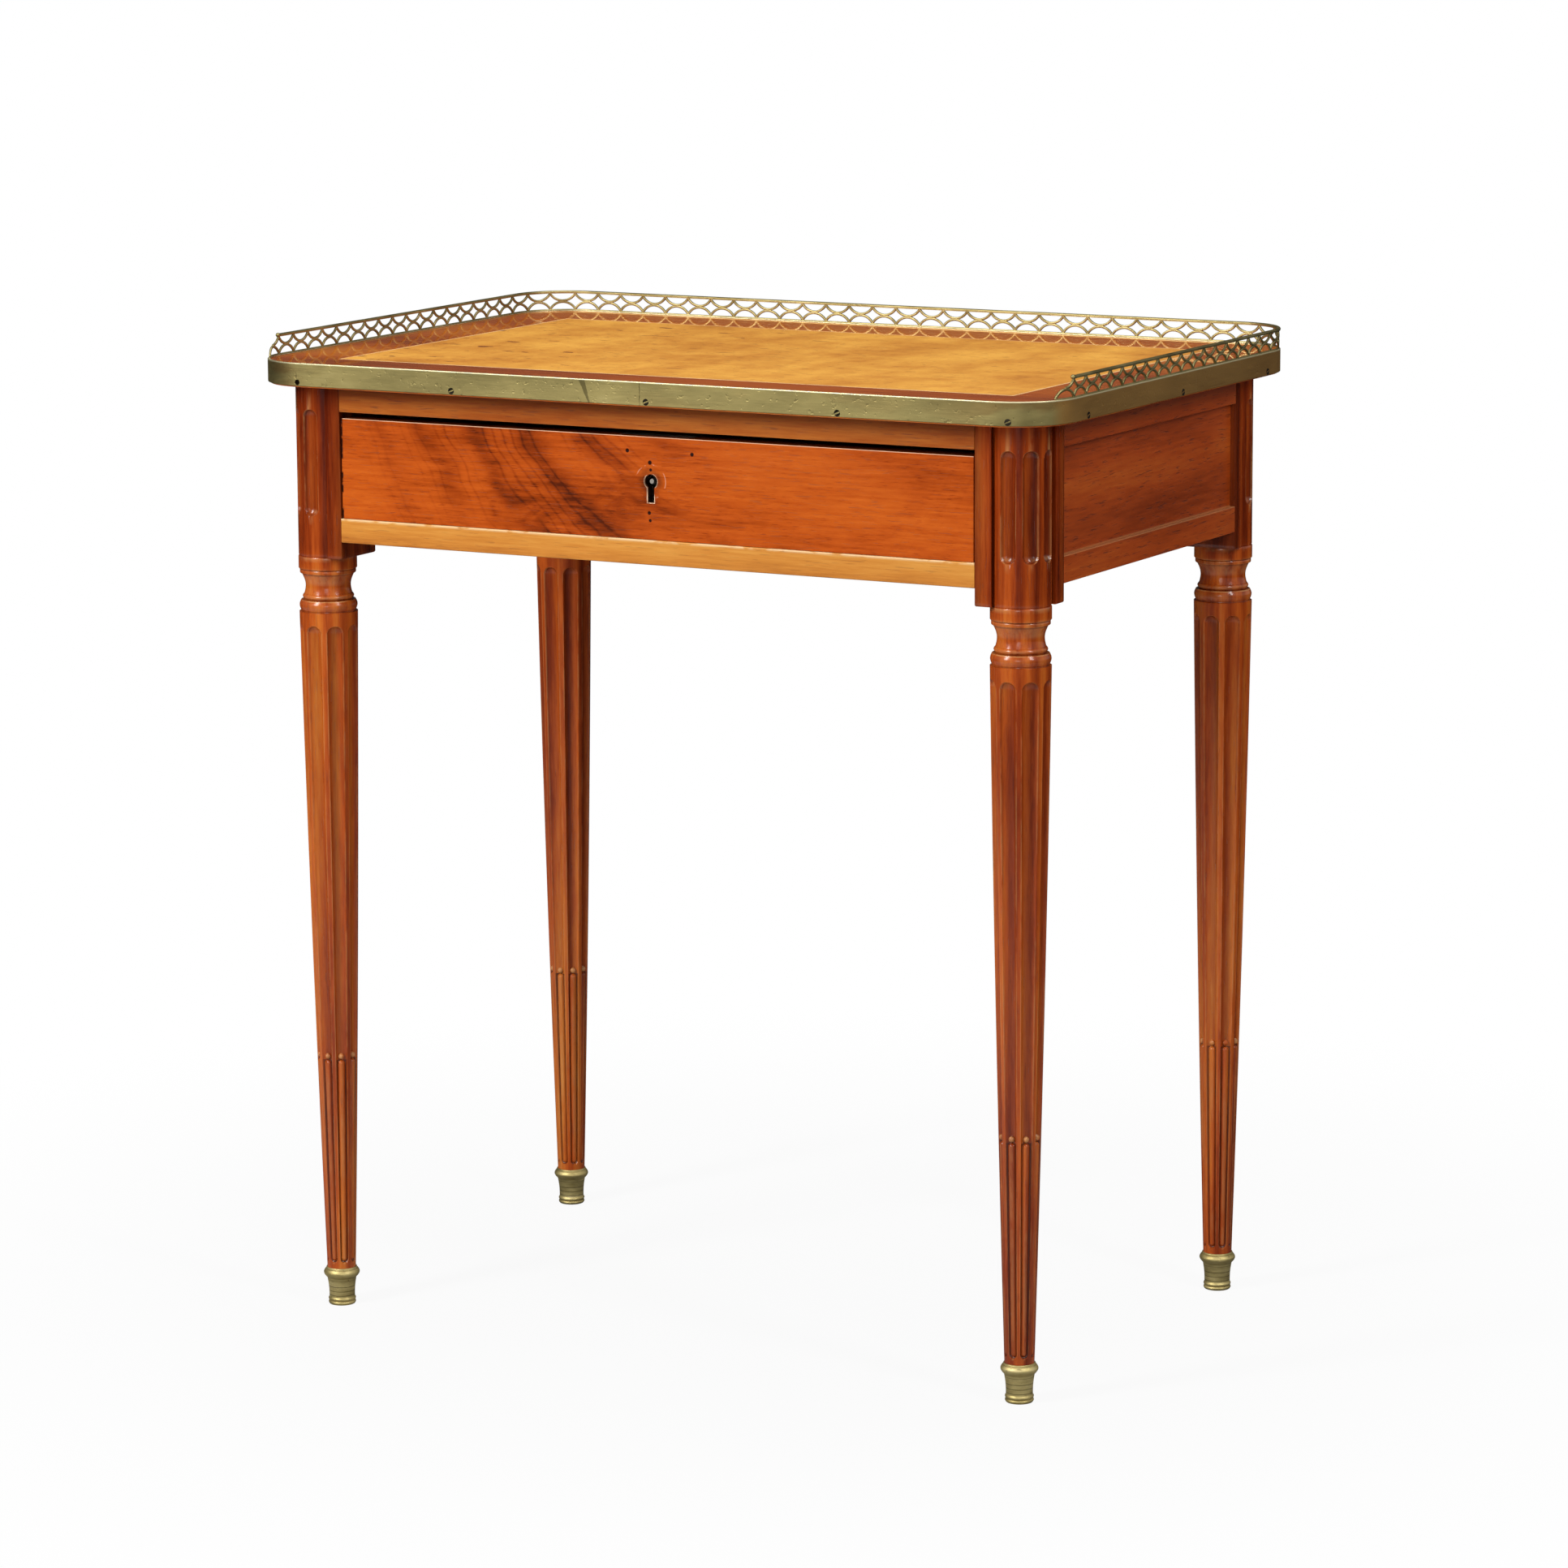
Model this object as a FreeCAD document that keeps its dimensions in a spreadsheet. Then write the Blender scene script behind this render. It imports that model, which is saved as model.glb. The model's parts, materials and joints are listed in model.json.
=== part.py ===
import FreeCAD, Part
import Sketcher
import math
import os

# Writing table with one drawer, a pierced brass gallery and turned, fluted legs.
# The origin is on the floor under the middle of the table: +X to the right of a person who
# sits at it, +Y to the back and +Z up. Lengths are in millimetres.

doc = FreeCAD.newDocument("writing_table")
sheet = doc.addObject("Spreadsheet::Sheet", "Sizes")

# Driving sizes: name, value and what it measures
SIZES = [
    ("leg_spacing_x", 589, "between the leg axes, left to right"),
    ("leg_spacing_y", 353, "between the leg axes, front to back"),
    ("post_size", 48, "side of the square post"),
    ("post_outset", 21.5, "post's outer face from the leg axis"),
    ("post_bottom", 590.6, "height of the post's lower end"),
    ("case_top", 723, "height of the posts' and rails' upper ends"),
    ("column_radius", 22, "rounded corner column of the post"),
    ("post_band_width", 12.5, "flat band beside the column"),
    ("post_flute_bottom", 623, "lowest point of the post's flutes"),
    ("post_flute_top", 704.5, "highest point of the post's flutes"),
    ("post_flute_radius_share", 0.47, "flute's own radius, of the column's"),
    ("post_flute_centre_share", 1.335, "flute's centre from the axis, of the column's radius"),
    ("collar_radius", 22.3, "plain collar under the post"),
    ("collar_bottom", 580.2, "height of the collar's lower edge"),
    ("fillet_radius", 21.4, "narrow fillet under the collar"),
    ("fillet_bottom", 576.8, "height of the fillet's lower edge"),
    ("neck_radius", 17, "waist of the neck"),
    ("neck_height", 568.4, "height of the waist"),
    ("neck_waist", 4, "length of the waist"),
    ("neck_bottom", 561, "height where the neck meets the small ring"),
    ("ring_radius", 19.6, "small ring under the neck"),
    ("bead_radius", 22.1, "large bead under the small ring"),
    ("bead_top", 556.4, "height of the bead's upper edge"),
    ("bead_bottom", 548.6, "height of the bead's lower edge"),
    ("turned_groove", 1.3, "depth and width of the grooves beside the rings"),
    ("turned_step", 0.4, "rise of the steps between rings"),
    ("shaft_top_radius", 22.3, "tapered shaft at its top"),
    ("shaft_foot_radius", 11.1, "tapered shaft at the sabot"),
    ("flute_end_share", 0.35, "rise of a flute's round end, of the radius it is cut in"),
    ("flute_top", 535.5, "highest point of the shaft's flutes"),
    ("flute_bottom", 36.5, "lowest point of the shaft's flutes"),
    ("flute_radius_share", 0.54, "flute's own radius, of the shaft's"),
    ("flute_centre_share", 1.41, "flute's centre from the axis, of the shaft's radius"),
    ("reed_top", 196, "height where the reeds in the flutes end"),
    ("reed_root_share", 0.84, "reed's sunk face from the axis, of the shaft's radius"),
    ("reed_cheek_share", 0.94, "reed's cheeks from the axis, of the shaft's radius"),
    ("reed_crown_share", 0.985, "reed's crown from the axis, of the shaft's radius"),
    ("reed_width_share", 0.17, "half the reed's width, of the shaft's radius"),
    ("reed_crown_width_share", 0.08, "half the crown's width, of the shaft's radius"),
    ("sabot_height", 30, "brass shoe on the leg's foot"),
    ("sabot_floor", 2.2, "thickness of the shoe's bottom"),
    ("sabot_foot_radius", 10.6, "foot of the shoe"),
    ("sabot_foot_height", 5.8, "height of the shoe's foot"),
    ("sabot_neck_radius", 10.1, "foot of the shoe's taper"),
    ("sabot_waist_radius", 11.3, "top of the shoe's taper"),
    ("sabot_torus_radius", 13.8, "large ring of the shoe"),
    ("sabot_torus_height", 25.4, "height of the large ring"),
    ("sabot_torus_rise", 2.6, "half the large ring's thickness"),
    ("sabot_lip_radius", 11.9, "lip of the shoe"),
    ("sabot_bore_radius", 8.6, "bore of the shoe"),
    ("sabot_play", 0.2, "room round the leg's tip in the shoe"),
    ("front_rail_depth", 44, "front rails, front to back"),
    ("rail_thickness", 22, "side and back rails"),
    ("opening_bottom", 622, "top of the rail under the drawer"),
    ("opening_top", 703, "underside of the rail over the drawer"),
    ("front_rail_bottom", 603.5, "underside of the rail under the drawer"),
    ("panel_bottom", 624, "top of the lower side and back rails"),
    ("panel_top", 702.5, "underside of the upper side and back rails"),
    ("side_rail_bottom", 604, "underside of the lower side and back rails"),
    ("panel_recess", 4.5, "panel's face behind the rails'"),
    ("panel_thickness", 8, "side and back panels"),
    ("groove_depth", 4, "grooves that hold the panels"),
    ("panel_play", 0.4, "panel's room to swell in its groove"),
    ("tenon_inset", 7, "tenon behind the rail's face"),
    ("tenon_thickness", 8, "tenon"),
    ("tenon_length", 17.5, "tenon"),
    ("tenon_shoulder", 4, "shoulder above and below a tenon"),
    ("runner_height", 10, "drawer runner"),
    ("runner_width", 18, "drawer runner and kicker"),
    ("kicker_height", 12, "kicker over the drawer's side"),
    ("guide_height", 20, "drawer guide beside the drawer's side"),
    ("stop_length", 45, "drawer stop, left to right"),
    ("stop_depth", 12, "drawer stop, front to back"),
    ("stop_height", 4.8, "drawer stop"),
    ("stop_offset", 190, "drawer stop from the middle"),
    ("block_size", 18, "glue block's two glued faces"),
    ("block_length", 60, "glue block"),
    ("block_offset", 130, "glue block from the middle"),
    ("top_half_x", 337, "brass band's outside from the middle, left and right"),
    ("top_half_y", 221.5, "brass band's outside from the middle, front and back"),
    ("top_corner_radius", 46, "brass band's outer corner"),
    ("board_thickness", 18, "table top's board"),
    ("band_thickness", 2, "brass band"),
    ("band_bottom", 724, "height of the band's lower edge"),
    ("band_lip", 0.5, "band's upper edge above the board"),
    ("leather_border_front", 41.5, "wood and band in front of the leather"),
    ("leather_border_back", 62, "wood and band behind the leather"),
    ("leather_border_left", 58, "wood and band left of the leather"),
    ("leather_border_right", 47, "wood and band right of the leather"),
    ("leather_thickness", 1.4, "leather of the writing surface"),
    ("gallery_height", 16, "gallery above the band"),
    ("gallery_plate", 1.6, "thickness of the pierced strip"),
    ("gallery_base", 0.9, "solid strip under the piercing"),
    ("gallery_rail_height", 2.3, "moulded rail over the piercing"),
    ("gallery_rail_width", 3.2, "moulded rail over the piercing"),
    ("gallery_bar", 1.7, "width of the pierced arcs"),
    ("gallery_inset", 0.8, "pierced strip behind the band's outer face"),
    ("gallery_end_chord", 20.7, "gallery's front ends, bent round the band's corners"),
    ("gallery_corner_run", 6.6, "straight length at each end of a corner piece"),
    ("drawer_front_thickness", 20, "drawer front"),
    ("drawer_front_recess", 1, "drawer front behind the rails' faces"),
    ("drawer_side_gap", 1.2, "room beside the drawer front"),
    ("drawer_lift", 0.3, "drawer above its rail and runners"),
    ("drawer_top_gap", 4.7, "opening above the drawer front"),
    ("drawer_depth", 350, "drawer, front to back"),
    ("drawer_side_thickness", 9, "drawer sides and back"),
    ("drawer_side_drop", 5, "drawer sides below the front's upper edge"),
    ("drawer_bottom_thickness", 6, "drawer bottom"),
    ("drawer_bottom_lift", 5.6, "drawer bottom above the sides' lower edge"),
    ("drawer_groove", 4, "groove that holds the drawer bottom"),
    ("tail_length", 14, "dovetails in the drawer front"),
    ("tail_root", 13, "dovetail's height at its root"),
    ("tail_flare", 2.5, "dovetail's spread each way at its tip"),
    ("lock_x", 2, "lock right of the middle"),
    ("lock_width", 62, "lock's back plate"),
    ("lock_height", 55, "lock's back plate"),
    ("lock_plate", 1.5, "lock's plates"),
    ("lock_case_width", 46, "lock's case"),
    ("lock_case_height", 52, "lock's case"),
    ("lock_case_depth", 11, "lock's case in front of its back plate"),
    ("lock_wall", 1.2, "lock case's walls"),
    ("bolt_width", 24, "lock bolt"),
    ("bolt_thickness", 6, "lock bolt"),
    ("bolt_height", 24, "lock bolt"),
    ("bolt_play", 0.3, "room round the bolt"),
    ("bolt_mortise_depth", 7, "mortise for the bolt in the rail above"),
    ("bolt_mortise_play", 1.2, "room round the bolt in that mortise"),
    ("lug_width", 13, "lugs that the drawn bolt rests on"),
    ("lug_height", 4, "lugs that the drawn bolt rests on"),
    ("key_pin_radius", 1.8, "pin that the key slips over"),
    ("key_pin_drop", 33, "key pin below the drawer's upper edge"),
    ("key_pin_setback", 1.6, "key pin's end behind the drawer's face"),
    ("keyhole_radius", 5.3, "round head of the keyhole"),
    ("keyhole_slot_width", 5.6, "slot of the keyhole"),
    ("keyhole_slot_length", 15.6, "slot of the keyhole, from the head's centre"),
    ("overrun", 2, "how far a cut runs past the surface that it opens"),
]

COUNTS = [
    ("flute_count", 8, "flutes round a leg"),
    ("post_flute_count", 3, "flutes on a post's column"),
    ("gallery_cells_side", 17, "arcs along a side"),
    ("gallery_cells_back", 27, "arcs along the back"),
    ("gallery_cells_corner", 4, "arcs round a corner"),
    ("tail_count", 3, "dovetails at a drawer corner"),
    ("turning_facets", 24, "flats round turned work"),
    ("flute_facets", 3, "flats that make a flute"),
    ("gallery_corner_facets", 6, "flats that make a gallery corner"),
    ("arch_facets", 4, "flats that make an arch of the gallery"),
    ("lozenge_facets", 1, "flats that make one side of a hole between four arcs"),
]

for row, (alias, number, note) in enumerate(SIZES + COUNTS, start=1):
    sheet.set("A%d" % row, alias)
    sheet.set("B%d" % row, str(number))
    sheet.set("C%d" % row, note)
    sheet.setAlias("B%d" % row, alias)
doc.recompute()


class Size:
    """A number together with the expression that gives it from the sheet's cells."""

    def __init__(self, value, text):
        self.value = value
        self.text = text

    def __float__(self):
        return float(self.value)

    def __add__(self, other):
        other = as_size(other)
        return Size(self.value + other.value, "(%s + %s)" % (self.text, other.text))

    def __sub__(self, other):
        other = as_size(other)
        return Size(self.value - other.value, "(%s - %s)" % (self.text, other.text))

    def __mul__(self, other):
        other = as_size(other)
        return Size(self.value * other.value, "(%s * %s)" % (self.text, other.text))

    def __truediv__(self, other):
        other = as_size(other)
        return Size(self.value / other.value, "(%s / %s)" % (self.text, other.text))

    def __neg__(self):
        return Size(-self.value, "(0 - %s)" % self.text)

    def root(self):
        return Size(math.sqrt(self.value), "sqrt(%s)" % self.text)

    __radd__ = __add__
    __rmul__ = __mul__

    def __rsub__(self, other):
        return as_size(other) - self


def as_size(number):
    return number if isinstance(number, Size) else Size(number, repr(number))


class Cells:
    """Gives each cell of the sheet by its alias."""

    def __getattr__(self, alias):
        return Size(float(sheet.get(alias)), "Sizes." + alias)


mm = Cells()
ZERO = as_size(0)
CORNERS = {"back_right": 0, "back_left": 1, "front_left": 2, "front_right": 3}
SIDES = {"left": -1, "right": 1}
subparts = {}


def keep(piece, name):
    """Registers a finished sub-part under the name of its file."""
    piece.Label = name
    subparts[name] = piece
    return piece


def bind(piece, prop, size):
    piece.setExpression(prop, as_size(size).text)


def place(piece, x=ZERO, y=ZERO, z=ZERO):
    for axis, size in zip("xyz", (x, y, z)):
        bind(piece, "Placement.Base." + axis, size)
    return piece


def box(name, x, y, z):
    """A board between two planes along each axis."""
    piece = doc.addObject("Part::Box", name)
    for prop, (low, high) in zip(("Length", "Width", "Height"), (x, y, z)):
        bind(piece, prop, high - low)
    return place(piece, x[0], y[0], z[0])


def cylinder(name, radius, height, x, y, z, turn=None):
    piece = doc.addObject("Part::Cylinder", name)
    bind(piece, "Radius", radius)
    bind(piece, "Height", height)
    if turn:
        piece.Placement.Rotation = turn
    return place(piece, x, y, z)


def cut(name, base, tools):
    """The base less every tool."""
    piece = doc.addObject("Part::Cut", name)
    piece.Base = base
    piece.Tool = tools[0] if len(tools) == 1 else fuse(name + "_tools", tools)
    return piece


def fuse(name, pieces):
    piece = doc.addObject("Part::MultiFuse", name)
    piece.Shapes = pieces
    piece.Refine = True
    return piece


def group(name, pieces):
    """Separate solids that share one sub-part."""
    piece = doc.addObject("Part::Compound", name)
    piece.Links = pieces
    return piece


def reflection(name, piece, across):
    """The piece's mirror image in the plane through the origin that faces along across."""
    image = doc.addObject("Part::Mirroring", name)
    image.Source = piece
    image.Normal = across
    return image


def mirrored(sign, low, high):
    """The interval from low to high, or its mirror image on the left."""
    return (low, high) if sign > 0 else (-high, -low)


def origin_feature(body, role):
    return next(item for item in body.Origin.OriginFeatures if item.Role == role)


def sketch_on(body, role, name):
    sketch = body.newObject("Sketcher::SketchObject", name)
    sketch.AttachmentSupport = [(origin_feature(body, role), "")]
    sketch.MapMode = "FlatFace"
    return sketch


def point_sizes(geometry, position, point):
    """Constraints that hold one point at its two sizes from the origin, each with its size."""
    held = []
    for kind, axis, size in (("DistanceX", -2, point[0]), ("DistanceY", -1, point[1])):
        size = as_size(size)
        if size.value == 0:
            held.append((Sketcher.Constraint("PointOnObject", geometry, position, axis), None))
        else:
            held.append((Sketcher.Constraint(kind, -1, 1, geometry, position, size.value), size))
    return held


def vector(point):
    return FreeCAD.Vector(float(point[0]), float(point[1]), 0)


def outline(sketch, points, through=None):
    """A closed outline. through gives, for a side's number, the point that its arc passes."""
    through = through or {}
    joints = []
    held = []
    for side, start in enumerate(points):
        end = points[(side + 1) % len(points)]
        if side in through:
            middle = through[side]
            line = Part.Arc(vector(start), vector(middle), vector(end))
        else:
            line = Part.LineSegment(vector(start), vector(end))
        geometry = sketch.addGeometry(line, False)
        first = sketch.getPoint(geometry, 1)
        ahead = (first - vector(start)).Length <= (first - vector(end)).Length
        joints.append((geometry, 1 if ahead else 2, 2 if ahead else 1))
        if side in through:
            mark = sketch.addGeometry(Part.Point(vector(middle)), True)
            held += point_sizes(mark, 1, middle)
            held.append((Sketcher.Constraint("PointOnObject", mark, 1, geometry), None))
    for side, (geometry, start, end) in enumerate(joints):
        following = joints[(side + 1) % len(joints)]
        held.append((Sketcher.Constraint("Coincident", geometry, end, *following[:2]), None))
        held += point_sizes(geometry, start, points[side])
    indices = sketch.addConstraint([constraint for constraint, size in held])
    for index, (constraint, size) in zip(indices, held):
        if size:
            sketch.setExpression("Constraints[%d]" % index, size.text)


def feature(body, kind, name, profile):
    item = body.newObject("PartDesign::" + kind, name)
    item.Profile = profile
    return item


def pattern(body, name, original, count, angle):
    """Copies a feature round the leg's axis."""
    item = body.newObject("PartDesign::PolarPattern", name)
    item.Originals = [original]
    item.Axis = (origin_feature(body, "Z_Axis"), [""])
    item.Angle = angle
    bind(item, "Occurrences", count)
    body.Tip = item
    return item


# Turned legs

HALF = 0.5
DIAGONAL_SHARE = math.sqrt(HALF)
FULL_TURN = 360
COLUMN_ARC = 90
# How far round its circle a flute's cutter reaches to each side, in degrees
FLUTE_OPENING = 45


def shaft_top():
    return mm.bead_bottom - mm.turned_groove


def shaft_radius(height):
    """Radius of the tapered shaft at a height."""
    rise = (height - mm.sabot_height) / (shaft_top() - mm.sabot_height)
    return mm.shaft_foot_radius + (mm.shaft_top_radius - mm.shaft_foot_radius) * rise


def flat_sided(name, stations):
    """Turned work in narrow flats. stations are pairs of height and radius."""
    rings = []
    for index, (height, radius) in enumerate(stations):
        ring = doc.addObject("Part::RegularPolygon", "%s_ring_%d" % (name, index))
        bind(ring, "Polygon", mm.turning_facets)
        bind(ring, "Circumradius", radius)
        place(ring, z=height)
        rings.append(ring)
    turning = doc.addObject("Part::Loft", name)
    turning.Sections = rings
    turning.Solid = True
    turning.Ruled = True
    doc.recompute()
    return turning


def flute_section(body, name, height, radius, centre_share, radius_share, shrink):
    """Cutter's outline at a height: a near circle in flats beside the wood, open to the outside.
    shrink is 1 along the flute and less where the cutter leaves the wood."""
    centre = radius * centre_share
    reach = radius * radius_share * shrink
    facets = int(float(mm.flute_facets))
    angles = [math.radians(FLUTE_OPENING * (2 * index / facets - 1)) for index in range(facets + 1)]
    arc = [(centre - reach * math.cos(angle), reach * math.sin(angle)) for angle in angles]
    sketch = sketch_on(body, "XY_Plane", name)
    outline(sketch, [(centre, arc[0][1])] + arc + [(centre, arc[-1][1])])
    bind(sketch, "AttachmentOffset.Base.z", height)
    return sketch


def flute(body, name, radius, centre_share, radius_share, bottom, top):
    """Cuts one flute. radius gives the wood's radius at a height, the shares place the cutter
    beside it, and bottom and top are where its round ends leave the wood."""
    low = bottom + radius(bottom) * mm.flute_end_share
    high = top - radius(top) * mm.flute_end_share
    leaving = (centre_share - 1) / radius_share
    stations = [(bottom, leaving), (low, as_size(1)), (high, as_size(1)), (top, leaving)]
    sections = [flute_section(body, "%s_section_%d" % (name, index), height, radius(height),
                              centre_share, radius_share, shrink)
                for index, (height, shrink) in enumerate(stations)]
    doc.recompute()
    cutter = feature(body, "SubtractiveLoft", name, sections[0])
    cutter.Sections = sections[1:]
    cutter.Ruled = True
    doc.recompute()
    return cutter


def reed_section(body, name, height):
    """Cross-section of the reed that lies in a flute, at a height."""
    radius = shaft_radius(height)
    root, cheek, crown = (radius * share for share in (
        mm.reed_root_share, mm.reed_cheek_share, mm.reed_crown_share))
    width, crown_width = radius * mm.reed_width_share, radius * mm.reed_crown_width_share
    sketch = sketch_on(body, "XY_Plane", name)
    outline(sketch, [(root, -width), (cheek, -width), (crown, -crown_width),
                     (crown, crown_width), (cheek, width), (root, width)])
    bind(sketch, "AttachmentOffset.Base.z", height)
    return sketch


def turned_leg():
    """One leg about its own axis, with its rounded corner column towards +X and +Y."""
    step = mm.turned_step
    groove = mm.turned_groove
    tip_radius = mm.sabot_bore_radius - mm.sabot_play
    turning = flat_sided("turning", [
        (mm.sabot_floor, tip_radius),
        (mm.sabot_height, tip_radius),
        (mm.sabot_height + step, mm.shaft_foot_radius),
        (shaft_top(), mm.shaft_top_radius),
        (mm.bead_bottom, mm.bead_radius - groove),
        (mm.bead_bottom + step, mm.bead_radius),
        (mm.bead_top - groove, mm.bead_radius),
        (mm.bead_top, mm.ring_radius),
        (mm.neck_bottom - groove, mm.ring_radius),
        (mm.neck_bottom, mm.neck_radius),
        (mm.neck_height + mm.neck_waist * HALF, mm.neck_radius),
        (mm.fillet_bottom, mm.fillet_radius),
        (mm.collar_bottom, mm.fillet_radius),
        (mm.collar_bottom + step, mm.collar_radius),
        (mm.post_bottom, mm.collar_radius),
    ])
    body = doc.addObject("PartDesign::Body", "turned_leg")
    body.BaseFeature = turning

    face = mm.post_outset
    inner = face - mm.post_size
    band = inner + mm.post_band_width
    level = (mm.column_radius * mm.column_radius - band * band).root()
    section = sketch_on(body, "XY_Plane", "post_section")
    corner = mm.column_radius * DIAGONAL_SHARE
    outline(section, [
        (inner, inner), (face, inner), (face, band), (level, band),
        (band, level), (band, face), (inner, face),
    ], {3: (corner, corner)})
    bind(section, "AttachmentOffset.Base.z", mm.post_bottom)
    post = feature(body, "Pad", "post", section)
    bind(post, "Length", mm.case_top - mm.post_bottom)
    doc.recompute()

    fluting = flute(body, "flute", shaft_radius, mm.flute_centre_share, mm.flute_radius_share,
                    mm.flute_bottom, mm.flute_top)
    pattern(body, "flutes", fluting, mm.flute_count, FULL_TURN)
    doc.recompute()
    scooping = flute(body, "post_flute", lambda height: mm.column_radius,
                     mm.post_flute_centre_share, mm.post_flute_radius_share,
                     mm.post_flute_bottom, mm.post_flute_top)
    pattern(body, "post_flutes", scooping, mm.post_flute_count, COLUMN_ARC)
    doc.recompute()

    lower = reed_section(body, "reed_foot", mm.flute_bottom)
    upper = reed_section(body, "reed_head", mm.reed_top)
    doc.recompute()
    reed = feature(body, "AdditiveLoft", "reed", lower)
    reed.Sections = [upper]
    reed.Ruled = True
    doc.recompute()
    pattern(body, "reeds", reed, mm.flute_count, FULL_TURN)
    doc.recompute()
    return body


def mortise(name, low, high, across):
    """The hole for one rail's tenon, on the leg's face towards -X, or towards -Y if across."""
    face = mm.post_outset
    inner = face - mm.post_size
    depth = (inner - mm.overrun, inner + mm.tenon_length)
    width = (face - mm.tenon_inset - mm.tenon_thickness, face - mm.tenon_inset)
    height = (low + mm.tenon_shoulder, high - mm.tenon_shoulder)
    return box(name, width, depth, height) if across else box(name, depth, width, height)


def panel_groove(name, across):
    """The groove for a panel's end in the same faces."""
    face = mm.post_outset
    inner = face - mm.post_size
    depth = (inner - mm.overrun, inner + mm.groove_depth)
    width = (face - mm.panel_recess - mm.panel_thickness, face - mm.panel_recess)
    height = (mm.panel_bottom - mm.groove_depth, mm.panel_top + mm.groove_depth)
    return box(name, width, depth, height) if across else box(name, depth, width, height)


def legs():
    shaft = turned_leg()
    for corner, quarter in CORNERS.items():
        front_across = corner == "front_right"
        joint = []
        front = corner.startswith("front")
        for across in (False, True):
            is_front_face = front and across == front_across
            word = "_across" if across else "_along"
            if is_front_face:
                joint.append(mortise(corner + word + "_top", mm.opening_top, mm.case_top, across))
                joint.append(mortise(corner + word + "_low", mm.front_rail_bottom,
                                     mm.opening_bottom, across))
            else:
                joint.append(mortise(corner + word + "_top", mm.panel_top, mm.case_top, across))
                joint.append(mortise(corner + word + "_low", mm.side_rail_bottom,
                                     mm.panel_bottom, across))
                joint.append(panel_groove(corner + word + "_groove", across))
        leg = cut("leg_" + corner, shaft, joint)
        right = 1 if corner.endswith("right") else -1
        back = -1 if front else 1
        leg.Placement.Rotation = FreeCAD.Rotation(FreeCAD.Vector(0, 0, 1), quarter * COLUMN_ARC)
        place(leg, mm.leg_spacing_x * (right * HALF), mm.leg_spacing_y * (back * HALF), ZERO)
        keep(leg, "leg_" + corner)


def sabots():
    """Brass shoes: a foot, a long taper, a bold ring and a bore for the leg's tip."""
    torus_low = mm.sabot_torus_height - mm.sabot_torus_rise
    torus_high = mm.sabot_torus_height + mm.sabot_torus_rise
    outside = flat_sided("sabot_outside", [
        (ZERO, mm.sabot_foot_radius),
        (mm.sabot_foot_height, mm.sabot_neck_radius),
        (torus_low, mm.sabot_waist_radius),
        (torus_low + mm.turned_step, mm.sabot_torus_radius),
        (torus_high, mm.sabot_torus_radius),
        (torus_high + mm.turned_step, mm.sabot_lip_radius),
        (mm.sabot_height, mm.sabot_lip_radius),
    ])
    bore = flat_sided("sabot_bore", [
        (mm.sabot_floor, mm.sabot_bore_radius),
        (mm.sabot_height + mm.overrun, mm.sabot_bore_radius),
    ])
    shoe = cut("sabot_back_right", outside, [bore])
    place(shoe, mm.leg_spacing_x * HALF, mm.leg_spacing_y * HALF, ZERO)
    right = group("sabots_right", [shoe, reflection("sabot_front_right", shoe, (0, 1, 0))])
    keep(group("sabots", [right, reflection("sabots_left", right, (1, 0, 0))]), "sabots")


# Case

FACE_X = mm.leg_spacing_x * HALF + mm.post_outset
FACE_Y = mm.leg_spacing_y * HALF + mm.post_outset
INNER_X = FACE_X - mm.post_size
INNER_Y = FACE_Y - mm.post_size


def tenons(name, length_half, faces, low, high, along_x):
    """Both tenons of a rail that runs between two posts."""
    pieces = []
    height = (low + mm.tenon_shoulder, high - mm.tenon_shoulder)
    for word, sign in SIDES.items():
        run = mirrored(sign, length_half, length_half + mm.tenon_length)
        spans = (run, faces) if along_x else (faces, run)
        pieces.append(box(name + "_tenon_" + word, spans[0], spans[1], height))
    return pieces


def tenon_faces(sign, face):
    return mirrored(sign, face - mm.tenon_inset - mm.tenon_thickness, face - mm.tenon_inset)


def front_rails(mortise_tool):
    y = (-FACE_Y, -FACE_Y + mm.front_rail_depth)
    faces = tenon_faces(-1, FACE_Y)
    for name, low, high in (("front_top_rail", mm.opening_top, mm.case_top),
                            ("front_bottom_rail", mm.front_rail_bottom, mm.opening_bottom)):
        board = box(name + "_board", (-INNER_X, INNER_X), y, (low, high))
        rail = fuse(name + "_joined", [board] + tenons(name, INNER_X, faces, low, high, True))
        if name == "front_top_rail":
            rail = cut(name, rail, [mortise_tool])
        keep(rail, name)


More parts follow.
